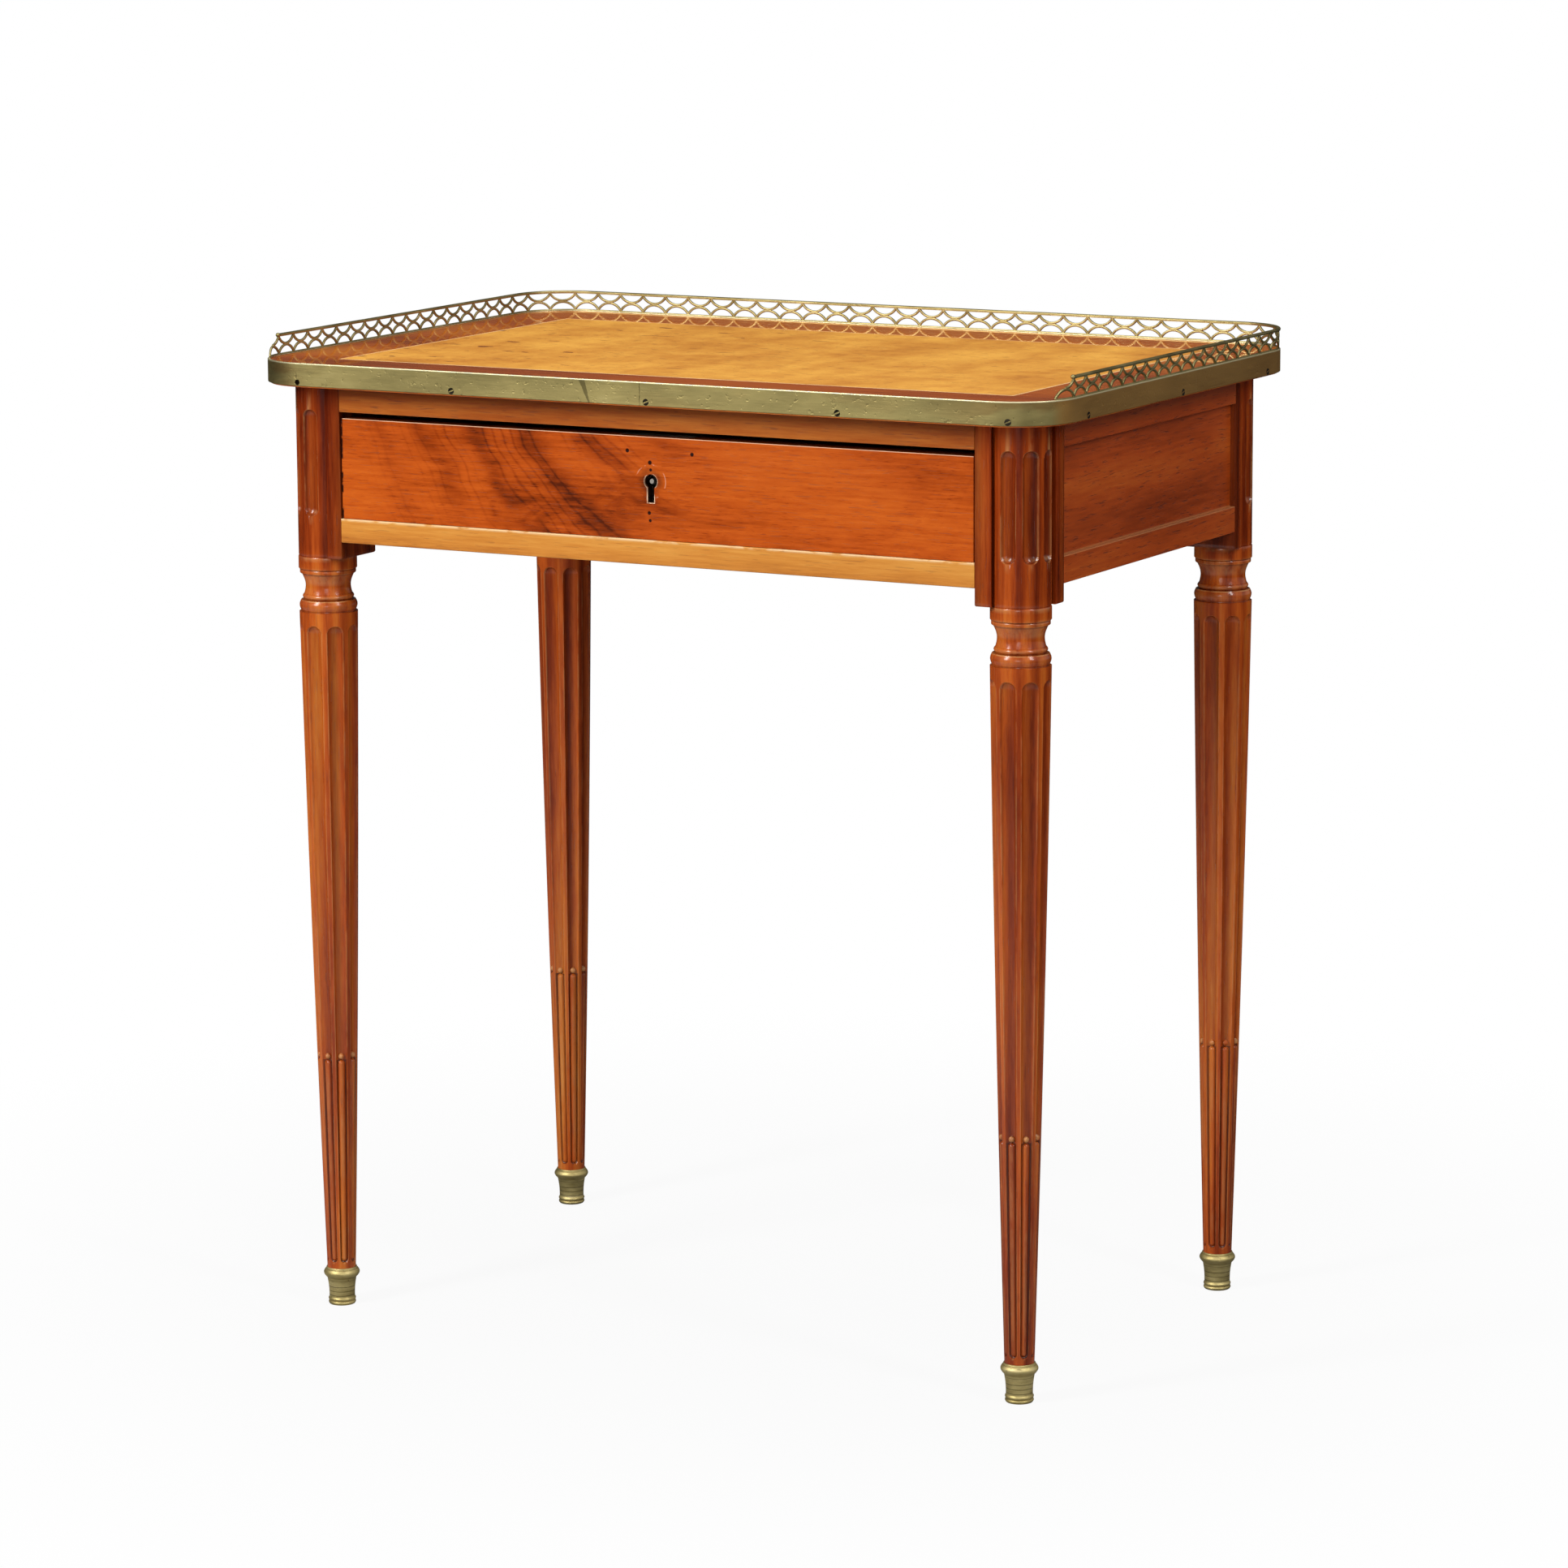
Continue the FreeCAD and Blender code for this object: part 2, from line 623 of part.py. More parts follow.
def frame_side(name, sign, along_x):
    """Upper rail, lower rail and panel of one side or of the back."""
    face, inner = (FACE_Y, INNER_X) if along_x else (FACE_X, INNER_Y)
    thick = mirrored(sign, face - mm.rail_thickness, face)
    faces = tenon_faces(sign, face)
    panel = mirrored(sign, face - mm.panel_recess - mm.panel_thickness, face - mm.panel_recess)
    long = (-inner, inner)
    groove_long = (-inner - mm.overrun, inner + mm.overrun)

    def between(run, across, height, label):
        return box(label, run, across, height) if along_x else box(label, across, run, height)

    rails = (("top", mm.panel_top, mm.case_top, (mm.panel_top - mm.overrun,
                                                mm.panel_top + mm.groove_depth)),
             ("bottom", mm.side_rail_bottom, mm.panel_bottom, (mm.panel_bottom - mm.groove_depth,
                                                              mm.panel_bottom + mm.overrun)))
    for word, low, high, slot in rails:
        label = "%s_%s_rail" % (name, word)
        board = between(long, thick, (low, high), label + "_board")
        joined = fuse(label + "_joined",
                      [board] + tenons(label, inner, faces, low, high, along_x))
        groove = between(groove_long, panel, slot, label + "_groove")
        keep(cut(label, joined, [groove]), label)
    reach = inner + mm.groove_depth - mm.panel_play
    height = (mm.panel_bottom - mm.groove_depth, mm.panel_top + mm.groove_depth - mm.panel_play)
    keep(between((-reach, reach), panel, height, name + "_panel"), name + "_panel")


def drawer_runs():
    """Runner, guide and kicker on each side, and the two stops behind the drawer front."""
    y = (-FACE_Y + mm.front_rail_depth, FACE_Y - mm.rail_thickness)
    for word, sign in SIDES.items():
        x = mirrored(sign, INNER_X - mm.runner_width, INNER_X)
        low, high = mm.opening_bottom - mm.runner_height, mm.opening_bottom
        keep(box("runner_" + word, x, y, (low, high)), "runner_" + word)
        low, high = mm.opening_top, mm.opening_top + mm.kicker_height
        keep(box("kicker_" + word, x, y, (low, high)), "kicker_" + word)
        x = mirrored(sign, INNER_X, FACE_X - mm.rail_thickness)
        low = mm.opening_bottom - mm.runner_height
        keep(box("guide_" + word, x, (-INNER_Y, INNER_Y), (low, low + mm.guide_height)),
             "guide_" + word)
        x = mirrored(sign, mm.stop_offset, mm.stop_offset + mm.stop_length)
        front = drawer_front_y()[1] + mm.drawer_lift
        keep(box("drawer_stop_" + word, x, (front, front + mm.stop_depth),
                 (mm.opening_bottom, mm.opening_bottom + mm.stop_height)),
             "drawer_stop_" + word)


def glue_blocks():
    """Three-cornered blocks that hold the top to the front and back rails."""
    for place_word, sign in (("front", -1), ("back", 1)):
        wall = -FACE_Y + mm.front_rail_depth if sign < 0 else FACE_Y - mm.rail_thickness
        for word, side in SIDES.items():
            label = "glue_block_%s_%s" % (place_word, word)
            x = mirrored(side, mm.block_offset, mm.block_offset + mm.block_length)
            y = (wall, wall + mm.block_size) if sign < 0 else (wall - mm.block_size, wall)
            point = y[0] if sign < 0 else y[1]
            z = (mm.case_top - mm.block_size, mm.case_top)
            # The lower edge keeps to the rail and the upper face reaches under the top
            keep(prism(label, x, [(point, z[0]), (y[0], z[1]), (y[1], z[1])]), label)


def prism(name, x, corners):
    """A straight prism along X over corners given as (y, z)."""
    body = doc.addObject("PartDesign::Body", name)
    section = sketch_on(body, "YZ_Plane", name + "_section")
    outline(section, corners)
    bind(section, "AttachmentOffset.Base.z", x[0])
    pad = feature(body, "Pad", name + "_pad", section)
    bind(pad, "Length", x[1] - x[0])
    return body


# Drawer

def drawer_front_y():
    front = -FACE_Y + mm.drawer_front_recess
    return front, front + mm.drawer_front_thickness


def drawer_sizes():
    half = INNER_X - mm.drawer_side_gap
    low = mm.opening_bottom + mm.drawer_lift
    high = mm.opening_top - mm.drawer_top_gap
    return half, low, high


def tails(word, sign):
    """Dovetails of one drawer side, narrow at the root and wide at the tip."""
    half, low, high = drawer_sizes()
    side_top = high - mm.drawer_side_drop
    x = mirrored(sign, half - mm.drawer_side_thickness, half)
    root = drawer_front_y()[1]
    pitch = (side_top - low) / mm.tail_count
    pieces = []
    for index in range(int(float(mm.tail_count))):
        middle = low + pitch * (index + HALF)
        piece = doc.addObject("Part::Wedge", "tail_%s_%d" % (word, index))
        bind(piece, "Xmin", x[0])
        bind(piece, "X2min", x[0])
        bind(piece, "Xmax", x[1])
        bind(piece, "X2max", x[1])
        bind(piece, "Ymin", root - mm.tail_length)
        bind(piece, "Ymax", root)
        bind(piece, "Zmin", middle - mm.tail_root * HALF - mm.tail_flare)
        bind(piece, "Zmax", middle + mm.tail_root * HALF + mm.tail_flare)
        bind(piece, "Z2min", middle - mm.tail_root * HALF)
        bind(piece, "Z2max", middle + mm.tail_root * HALF)
        pieces.append(piece)
    return pieces


def lock_places():
    """Planes of the lock: the plate's back, the case's inner faces and the upper edge."""
    back = drawer_front_y()[1]
    top = drawer_sizes()[2]
    return back, top


def lock_shell(name, grow_top):
    """The lock's outer form. grow_top carries it past the drawer's upper edge for a cut."""
    back, top = lock_places()
    middle = mm.lock_x
    plate = box(name + "_plate",
                (middle - mm.lock_width * HALF, middle + mm.lock_width * HALF),
                (back - mm.lock_plate, back + (mm.overrun if grow_top else ZERO)),
                (top - mm.lock_height, top + (mm.overrun if grow_top else ZERO)))
    case = box(name + "_case",
               (middle - mm.lock_case_width * HALF, middle + mm.lock_case_width * HALF),
               (back - mm.lock_plate - mm.lock_case_depth, back),
               (top - mm.lock_case_height, top + (mm.overrun if grow_top else ZERO)))
    edge = box(name + "_edge",
               (middle - mm.lock_width * HALF, middle + mm.lock_width * HALF),
               (back - mm.lock_plate - mm.lock_case_depth,
                back + (mm.overrun if grow_top else ZERO)),
               (top - mm.lock_plate, top + (mm.overrun if grow_top else ZERO)))
    return fuse(name, [plate, case, edge])


TOWARDS_FRONT = FreeCAD.Rotation(FreeCAD.Vector(1, 0, 0), 90)


def keyhole(name):
    """Round head and slot, right through the drawer front and the lock's front wall."""
    back, top = lock_places()
    front = drawer_front_y()[0]
    deep = back - mm.lock_plate - mm.lock_case_depth * HALF
    height = top - mm.key_pin_drop
    head = cylinder(name + "_head", mm.keyhole_radius, deep - front + mm.overrun,
                    mm.lock_x, deep, height, TOWARDS_FRONT)
    slot = box(name + "_slot",
               (mm.lock_x - mm.keyhole_slot_width * HALF,
                mm.lock_x + mm.keyhole_slot_width * HALF),
               (front - mm.overrun, deep), (height - mm.keyhole_slot_length, height))
    return fuse(name, [head, slot])


def bolt_span():
    """The bolt's planes from front to back, and its height while it is drawn."""
    back, top = lock_places()
    middle = back - mm.lock_plate - mm.lock_case_depth * HALF
    y = (middle - mm.bolt_thickness * HALF, middle + mm.bolt_thickness * HALF)
    return y, (top - mm.bolt_height, top)


def lock():
    back, top = lock_places()
    hole = keyhole("keyhole")
    inner_x = mm.lock_case_width * HALF - mm.lock_wall
    cavity = box("lock_cavity", (mm.lock_x - inner_x, mm.lock_x + inner_x),
                 (back - mm.lock_plate - mm.lock_case_depth + mm.lock_wall,
                  back - mm.lock_plate),
                 (top - mm.lock_case_height + mm.lock_wall, top - mm.lock_plate))
    y, z = bolt_span()
    slot = box("bolt_slot",
               (mm.lock_x - mm.bolt_width * HALF - mm.bolt_play,
                mm.lock_x + mm.bolt_width * HALF + mm.bolt_play),
               (y[0] - mm.bolt_play, y[1] + mm.bolt_play),
               (top - mm.lock_plate - mm.overrun, top + mm.overrun))
    hollow = cut("lock_hollow", lock_shell("lock_body", False), [cavity, slot, hole])
    seat = z[0] - mm.bolt_play
    lugs = [box("lug_" + word, (mm.lock_x + low, mm.lock_x + high),
                (back - mm.lock_plate - mm.lock_case_depth + mm.lock_wall,
                 back - mm.lock_plate), (seat - mm.lug_height, seat))
            for word, (low, high) in ((word, mirrored(sign, inner_x - mm.lug_width, inner_x))
                                      for word, sign in SIDES.items())]
    keep(fuse("lock_case", [hollow] + lugs), "lock_case")
    pin_back = back - mm.lock_plate
    pin_front = drawer_front_y()[0] + mm.key_pin_setback
    keep(cylinder("lock_pin", mm.key_pin_radius, pin_back - pin_front, mm.lock_x, pin_back,
                  top - mm.key_pin_drop, TOWARDS_FRONT), "lock_pin")
    keep(box("lock_bolt", (mm.lock_x - mm.bolt_width * HALF, mm.lock_x + mm.bolt_width * HALF),
             y, z), "lock_bolt")
    return hole


def drawer():
    half, low, high = drawer_sizes()
    front, back = drawer_front_y()
    rear = front + mm.drawer_depth
    side_top = high - mm.drawer_side_drop
    bottom = low + mm.drawer_bottom_lift
    bottom_z = (bottom, bottom + mm.drawer_bottom_thickness)
    inner = half - mm.drawer_side_thickness
    reach = inner + mm.drawer_groove
    hole = lock()

    all_tails = []
    for word, sign in SIDES.items():
        side_tails = tails(word, sign)
        all_tails += side_tails
        x = mirrored(sign, inner, half)
        board = box("drawer_side_board_" + word, x, (back, rear), (low, side_top))
        joined = fuse("drawer_side_joined_" + word, [board] + side_tails)
        groove = box("drawer_side_groove_" + word,
                     mirrored(sign, inner - mm.overrun, reach),
                     (back, rear + mm.overrun), bottom_z)
        keep(cut("drawer_side_" + word, joined, [groove]), "drawer_side_" + word)

    board = box("drawer_front_board", (-half, half), (front, back), (low, high))
    groove = box("drawer_front_groove", (-inner, inner), (back - mm.drawer_groove,
                 back + mm.overrun), bottom_z)
    pocket = lock_shell("lock_pocket", True)
    keep(cut("drawer_front", board, all_tails + [groove, pocket, hole]), "drawer_front")
    keep(fuse("drawer_bottom", [
        box("drawer_bottom_board", (-reach, reach), (back, rear), bottom_z),
        box("drawer_bottom_tongue", (-inner, inner), (back - mm.drawer_groove, rear), bottom_z),
    ]), "drawer_bottom")
    keep(box("drawer_back", (-inner, inner), (rear - mm.drawer_side_thickness, rear),
             (bottom_z[1], side_top)), "drawer_back")


def bolt_mortise():
    """The mortise over the lock in the rail above the drawer."""
    y, z = bolt_span()
    play = mm.bolt_mortise_play
    return box("bolt_mortise",
               (mm.lock_x - mm.bolt_width * HALF - play, mm.lock_x + mm.bolt_width * HALF + play),
               (y[0] - play, y[1] + play),
               (mm.opening_top - mm.overrun, mm.opening_top + mm.bolt_mortise_depth))


# Table top

def rounded_plate(name, half_x, half_y, radius, low, high):
    """A board with four round corners."""
    body = doc.addObject("PartDesign::Body", name)
    section = sketch_on(body, "XY_Plane", name + "_section")
    x, y = half_x, half_y
    cx, cy = half_x - radius, half_y - radius
    kx, ky = cx + radius * DIAGONAL_SHARE, cy + radius * DIAGONAL_SHARE
    outline(section, [(-cx, -y), (cx, -y), (x, -cy), (x, cy), (cx, y), (-cx, y), (-x, cy),
                      (-x, -cy)],
            {1: (kx, -ky), 3: (kx, ky), 5: (-kx, ky), 7: (-kx, -ky)})
    bind(section, "AttachmentOffset.Base.z", low)
    pad = feature(body, "Pad", name + "_pad", section)
    bind(pad, "Length", high - low)
    return body


def table_top():
    inner_x, inner_y = mm.top_half_x - mm.band_thickness, mm.top_half_y - mm.band_thickness
    inner_radius = mm.top_corner_radius - mm.band_thickness
    low, high = mm.case_top, mm.case_top + mm.board_thickness
    band_top = high + mm.band_lip
    slab = rounded_plate("board_slab", inner_x, inner_y, inner_radius, low, high)
    leather_x = (-mm.top_half_x + mm.leather_border_left, mm.top_half_x - mm.leather_border_right)
    leather_y = (-mm.top_half_y + mm.leather_border_front, mm.top_half_y - mm.leather_border_back)
    recess = box("leather_recess", leather_x, leather_y,
                 (high - mm.leather_thickness, high + mm.overrun))
    keep(cut("top_board", slab, [recess]), "top_board")
    keep(box("writing_leather", leather_x, leather_y, (high - mm.leather_thickness, high)),
         "writing_leather")
    outside = rounded_plate("band_outside", mm.top_half_x, mm.top_half_y, mm.top_corner_radius,
                            mm.band_bottom, band_top)
    inside = rounded_plate("band_inside", inner_x, inner_y, inner_radius,
                           mm.band_bottom - mm.overrun, band_top + mm.overrun)
    keep(cut("top_band", outside, [inside]), "top_band")


# Pierced gallery

def flats(centre, radius, start, end, count):
    """Points along an arc from start to end round a centre, with a number of flats between."""
    first, last = (math.atan2(p.z - centre.z, p.x - centre.x) for p in (start, end))
    sweep = (last - first + math.pi) % (2 * math.pi) - math.pi
    angles = [first + sweep * index / count for index in range(count + 1)]
    return [centre + FreeCAD.Vector(math.cos(a), 0, math.sin(a)) * radius for a in angles]


def half_moon(middle, radius, chord, crown):
    """Corners of the hole between a level chord and an arc whose crown is above or below it."""
    centre = FreeCAD.Vector(middle, 0, crown - radius if crown > chord else crown + radius)
    half = math.sqrt(radius ** 2 - (chord - centre.z) ** 2)
    sides = [FreeCAD.Vector(middle + side * half, 0, chord) for side in (-1, 1)]
    top = FreeCAD.Vector(middle, 0, crown)
    facets = int(float(mm.arch_facets)) // 2
    return (flats(centre, radius, sides[0], top, facets)[:-1]
            + flats(centre, radius, top, sides[1], facets))


def lozenge(node, pitch, radius, low_centre, high_centre):
    """Corners of the hole round a node, between four neighbouring arcs."""
    rise = math.sqrt(radius ** 2 - (pitch / 2) ** 2)
    level = (low_centre + high_centre) / 2
    reach = math.sqrt(radius ** 2 - (level - low_centre) ** 2)
    corners = [FreeCAD.Vector(node, 0, low_centre + rise),
               FreeCAD.Vector(node + pitch / 2 - reach, 0, level),
               FreeCAD.Vector(node, 0, high_centre - rise),
               FreeCAD.Vector(node - pitch / 2 + reach, 0, level)]
    centres = [(node + pitch / 2, low_centre), (node + pitch / 2, high_centre),
               (node - pitch / 2, high_centre), (node - pitch / 2, low_centre)]
    points = []
    for index, (x, z) in enumerate(centres):
        points += flats(FreeCAD.Vector(x, 0, z), radius, corners[index],
                        corners[(index + 1) % len(corners)], int(float(mm.lozenge_facets)))[:-1]
    return points


class Piercing:
    """Sizes of one run of arcs, all worked out from its pitch and the gallery's own sizes."""

    def __init__(self, pitch):
        self.pitch = pitch
        self.base = float(mm.gallery_base)
        self.height = float(mm.gallery_height)
        self.eave = self.height - float(mm.gallery_rail_height)
        self.bar = float(mm.gallery_bar)
        self.middle = (self.base + self.eave) / 2
        # The two crowns share a quarter of a bar, so that the arcs are joined where they touch
        crown = self.middle - self.bar / 4
        rise = crown - self.base
        self.radius = (rise ** 2 + (pitch / 2) ** 2) / (2 * rise)
        self.inner = self.radius - self.bar / 2
        self.outer = self.radius + self.bar / 2
        self.low_centre = crown - self.radius
        self.high_centre = 2 * self.middle - self.low_centre

    def solid(self, corners, thickness):
        """Corners of one hole made into a cutter that is centred on the plate."""
        face = Part.Face(Part.makePolygon(corners + corners[:1]))
        face.translate(FreeCAD.Vector(0, -thickness, 0))
        return face.extrude(FreeCAD.Vector(0, 2 * thickness, 0))

    def arch(self, middle, thickness):
        crown = self.low_centre + self.inner
        return self.solid(half_moon(middle, self.inner, self.base, crown), thickness)

    def swag(self, middle, thickness):
        crown = self.high_centre - self.inner
        return self.solid(half_moon(middle, self.inner, self.eave, crown), thickness)

    def lozenge(self, node, thickness):
        return self.solid(
            lozenge(node, self.pitch, self.outer, self.low_centre, self.high_centre), thickness)


def rail_section():
    """Moulded rail across its length: a flat underside, cheeks and a back in three flats."""
    half = float(mm.gallery_rail_width) / 2
    top = float(mm.gallery_height)
    low = top - float(mm.gallery_rail_height)
    cheek = (low + top) / 2
    outline_points = [(-half, cheek), (-half, low), (half, low), (half, cheek),
                      (half / 2, top), (-half / 2, top), (-half, cheek)]
    return [FreeCAD.Vector(0, y, z) for y, z in outline_points]


def straight_gallery(length, count, open_end):
    """A straight run along +X from the origin. open_end cuts the sloping end at its start."""
    piercing = Piercing(length / count)
    plate_half = float(mm.gallery_plate) / 2
    deep = float(mm.gallery_rail_width)
    pitch = piercing.pitch
    start = -piercing.bar / 2 if open_end else 0
    plate = Part.makeBox(length - start, 2 * plate_half, piercing.eave,
                         FreeCAD.Vector(start, -plate_half, 0))
    holes = []
    for index in range(count):
        middle = (index + HALF) * pitch
        holes.append(piercing.arch(middle, deep))
        holes.append(piercing.swag(middle, deep))
        if index:
            holes.append(piercing.lozenge(index * pitch, deep))
    ends = [0, count * pitch]
    rail_start = 0
    if open_end:
        ends = [count * pitch]
        crown = pitch / 2
        free = Part.makeBox(crown - 2 * start, 2 * deep, piercing.height,
                            FreeCAD.Vector(2 * start, -deep, 0))
        disc = Part.makeCylinder(piercing.outer, 2 * deep,
                                 FreeCAD.Vector(crown, -deep, piercing.low_centre),
                                 FreeCAD.Vector(0, 1, 0))
        holes.append(free.cut(disc))
        eave_reach = math.sqrt(piercing.inner ** 2 - (piercing.high_centre - piercing.eave) ** 2)
        rail_start = crown + eave_reach
    holes += [piercing.lozenge(end, deep) for end in ends]
    plate = plate.cut(holes)
    section = Part.makePolygon(rail_section())
    section.translate(FreeCAD.Vector(rail_start, 0, 0))
    rail = Part.Face(section).extrude(FreeCAD.Vector(length - rail_start, 0, 0))
    return plate.fuse(rail).removeSplitter()


def side_gallery(length, count, radius, bend):
    """A side run along +X from the corner's start, with one more cell before it that cuts
    across the corner. bend is 1 if it turns right and -1 if it turns left."""
    chord = float(mm.gallery_end_chord)
    turn = math.degrees(math.asin(chord / 2 / radius))
    end = straight_gallery(chord, 1, True)
    end.translate(FreeCAD.Vector(-chord, 0, 0))
    end.rotate(FreeCAD.Vector(0, 0, 0), FreeCAD.Vector(0, 0, 1), -bend * turn)
    return straight_gallery(length, count, False).fuse(end)


def corner_gallery(radius, run, count):
    """A quarter round about +Z from +X to +Y, with a straight length at each end."""
    length = 2 * run + radius * math.pi / 2
    piercing = Piercing(length / count)
    plate_half = float(mm.gallery_plate) / 2
    deep = float(mm.gallery_rail_width)

    facets = int(float(mm.gallery_corner_facets))

    def swept(points):
        """The section carried along the straight length, the quarter in flats and the other."""
        upright = Part.makePolygon(points)
        upright.rotate(FreeCAD.Vector(0, 0, 0), FreeCAD.Vector(0, 0, 1), 90)
        upright.translate(FreeCAD.Vector(radius, 0, 0))
        stations = [(COLUMN_ARC * index / facets, 0) for index in range(facets + 1)]
        wires = []
        for turn, ahead in [(0, -run)] + stations + [(COLUMN_ARC, run)]:
            wire = upright.copy()
            wire.translate(FreeCAD.Vector(0, ahead, 0))
            wire.rotate(FreeCAD.Vector(0, 0, 0), FreeCAD.Vector(0, 0, 1), turn)
            wires.append(wire)
        return Part.makeLoft(wires, True, True)

    def section(low, high):
        return [FreeCAD.Vector(0, side * plate_half, z)
                for side, z in ((-1, low), (1, low), (1, high), (-1, high), (-1, low))]

    def stand(tool, station):
        """Turns a cutter made round x = 0 to its station along the path."""
        along = station - run
        if along < 0:
            turn, shift = 0, FreeCAD.Vector(radius, along, 0)
        elif along > radius * math.pi / 2:
            over = along - radius * math.pi / 2
            turn, shift = COLUMN_ARC, FreeCAD.Vector(-over, radius, 0)
        else:
            turn = math.degrees(along / radius)
            shift = FreeCAD.Vector(radius * math.cos(along / radius),
                                   radius * math.sin(along / radius), 0)
        tool = tool.copy()
        tool.rotate(FreeCAD.Vector(0, 0, 0), FreeCAD.Vector(0, 0, 1), 90 + turn)
        tool.translate(shift)
        return tool

    plate = swept(section(0, piercing.eave))
    holes = []
    for index in range(count):
        station = (index + HALF) * piercing.pitch
        holes.append(stand(piercing.arch(0, deep), station))
        holes.append(stand(piercing.swag(0, deep), station))
    for index in range(count + 1):
        holes.append(stand(piercing.lozenge(0, deep), index * piercing.pitch))
    plate = plate.cut(holes)
    rail = swept(rail_section())
    return plate.fuse(rail).removeSplitter()


def gallery_piece(name, shape, x, y, z, turn):
    piece = doc.addObject("Part::Feature", name)
    piece.Shape = shape
    piece.Placement = FreeCAD.Placement(FreeCAD.Vector(x, y, z),
                                        FreeCAD.Rotation(FreeCAD.Vector(0, 0, 1), turn))
    return keep(piece, name)


def gallery():
    """Three straight runs and two corners on the band's upper edge."""
    base = float(mm.case_top + mm.board_thickness + mm.band_lip)
    inset = float(mm.gallery_inset + mm.gallery_plate * HALF)
    wall_x, wall_y = float(mm.top_half_x) - inset, float(mm.top_half_y) - inset
    radius = float(mm.top_corner_radius) - inset
    run = float(mm.gallery_corner_run)
    back_half = wall_x - radius - run
    corner_x, corner_y = wall_x - radius, wall_y - radius
    side_length = 2 * corner_y - run
    side_count = int(float(mm.gallery_cells_side))
    for name, sign in (("gallery_right", 1), ("gallery_left", -1)):
        side = side_gallery(side_length, side_count, radius, sign)
        gallery_piece(name, side, sign * wall_x, -corner_y, base, 90)
    back = straight_gallery(2 * back_half, int(float(mm.gallery_cells_back)), False)
    gallery_piece("gallery_back", back, -back_half, wall_y, base, 0)
    corners = []
    for sign, turn in ((1, 0), (-1, COLUMN_ARC)):
        corner = corner_gallery(radius, run, int(float(mm.gallery_cells_corner)))
        corner.rotate(FreeCAD.Vector(0, 0, 0), FreeCAD.Vector(0, 0, 1), turn)
        corner.translate(FreeCAD.Vector(sign * corner_x, 0, 0))
        corners.append(corner)
    gallery_piece("gallery_corners", Part.makeCompound(corners), 0, corner_y, base, 0)


def check():
    """Stops if an object failed or a sub-part isn't a sound solid."""
    for item in doc.Objects:
        if "Invalid" in item.State or "Error" in item.State:
            raise RuntimeError("%s failed: %s" % (item.Label, item.State))
    for name, piece in subparts.items():
        shape = piece.Shape
        if shape.isNull() or not shape.isValid() or not shape.Solids:
            raise RuntimeError("%s has no sound solid" % name)


def main():
    legs()
    sabots()
    front_rails(bolt_mortise())
    frame_side("left", -1, False)
    frame_side("right", 1, False)
    frame_side("back", 1, True)
    drawer_runs()
    glue_blocks()
    drawer()
    table_top()
    gallery()
    doc.recompute()
    check()
    os.makedirs("parts", exist_ok=True)
    for name, piece in subparts.items():
        piece.Shape.exportStep("parts/%s.step" % name)
    print(len(subparts), "sub-parts")


main()
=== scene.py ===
import json
import math

import bmesh
import bpy
import numpy as np
from mathutils import Matrix, Vector


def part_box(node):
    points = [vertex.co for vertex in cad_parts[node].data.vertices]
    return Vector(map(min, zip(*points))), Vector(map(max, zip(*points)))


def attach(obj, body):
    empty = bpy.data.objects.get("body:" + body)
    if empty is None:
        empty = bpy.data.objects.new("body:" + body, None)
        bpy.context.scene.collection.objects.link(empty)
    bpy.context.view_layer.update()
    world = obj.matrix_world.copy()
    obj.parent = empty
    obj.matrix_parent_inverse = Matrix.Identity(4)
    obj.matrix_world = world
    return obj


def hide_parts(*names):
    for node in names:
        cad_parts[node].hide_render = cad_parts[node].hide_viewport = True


# Antique writing table: fluted legs, drawer, inset leather, brass band and pierced gallery.
# Lengths are in metres. Each piece lies where the CAD frame has its node.

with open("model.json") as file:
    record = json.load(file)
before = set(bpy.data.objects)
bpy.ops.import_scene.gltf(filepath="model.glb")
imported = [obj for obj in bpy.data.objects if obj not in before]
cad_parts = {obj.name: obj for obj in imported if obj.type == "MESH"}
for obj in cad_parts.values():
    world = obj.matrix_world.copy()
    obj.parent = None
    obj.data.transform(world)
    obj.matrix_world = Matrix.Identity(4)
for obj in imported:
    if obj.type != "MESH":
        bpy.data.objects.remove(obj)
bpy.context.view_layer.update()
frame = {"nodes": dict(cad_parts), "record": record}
MM = 0.001

# Places taken from the frame
band_low, band_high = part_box("top_band")
post_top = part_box("leg_back_right")[1].z
front_low, front_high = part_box("drawer_front")
leather_low, leather_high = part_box("writing_leather")
over_low, over_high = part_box("front_top_rail")
rail_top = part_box("front_bottom_rail")[1].z
panel_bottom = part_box("right_panel")[0].z
pin_low, pin_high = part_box("lock_pin")
case_low, case_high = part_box("lock_case")
BODIES = frame["record"]["behaviour"]["bodies"]
LEG_AXES = {entry["name"]: entry["pos_m"] for entry in frame["record"]["mounts"]
            if entry["name"].startswith("foot_")}


# Shader kit

def paint(code):
    """A colour written as six hex digits, as the linear values that a shader takes."""
    parts = [int(code[i:i + 2], 16) / 255 for i in (1, 3, 5)]
    return (*[c / 12.92 if c < 0.04045 else ((c + 0.055) / 1.055) ** 2.4 for c in parts], 1.0)


def paints(*codes):
    """Several colours, from dark to light."""
    return [paint(code) for code in codes]


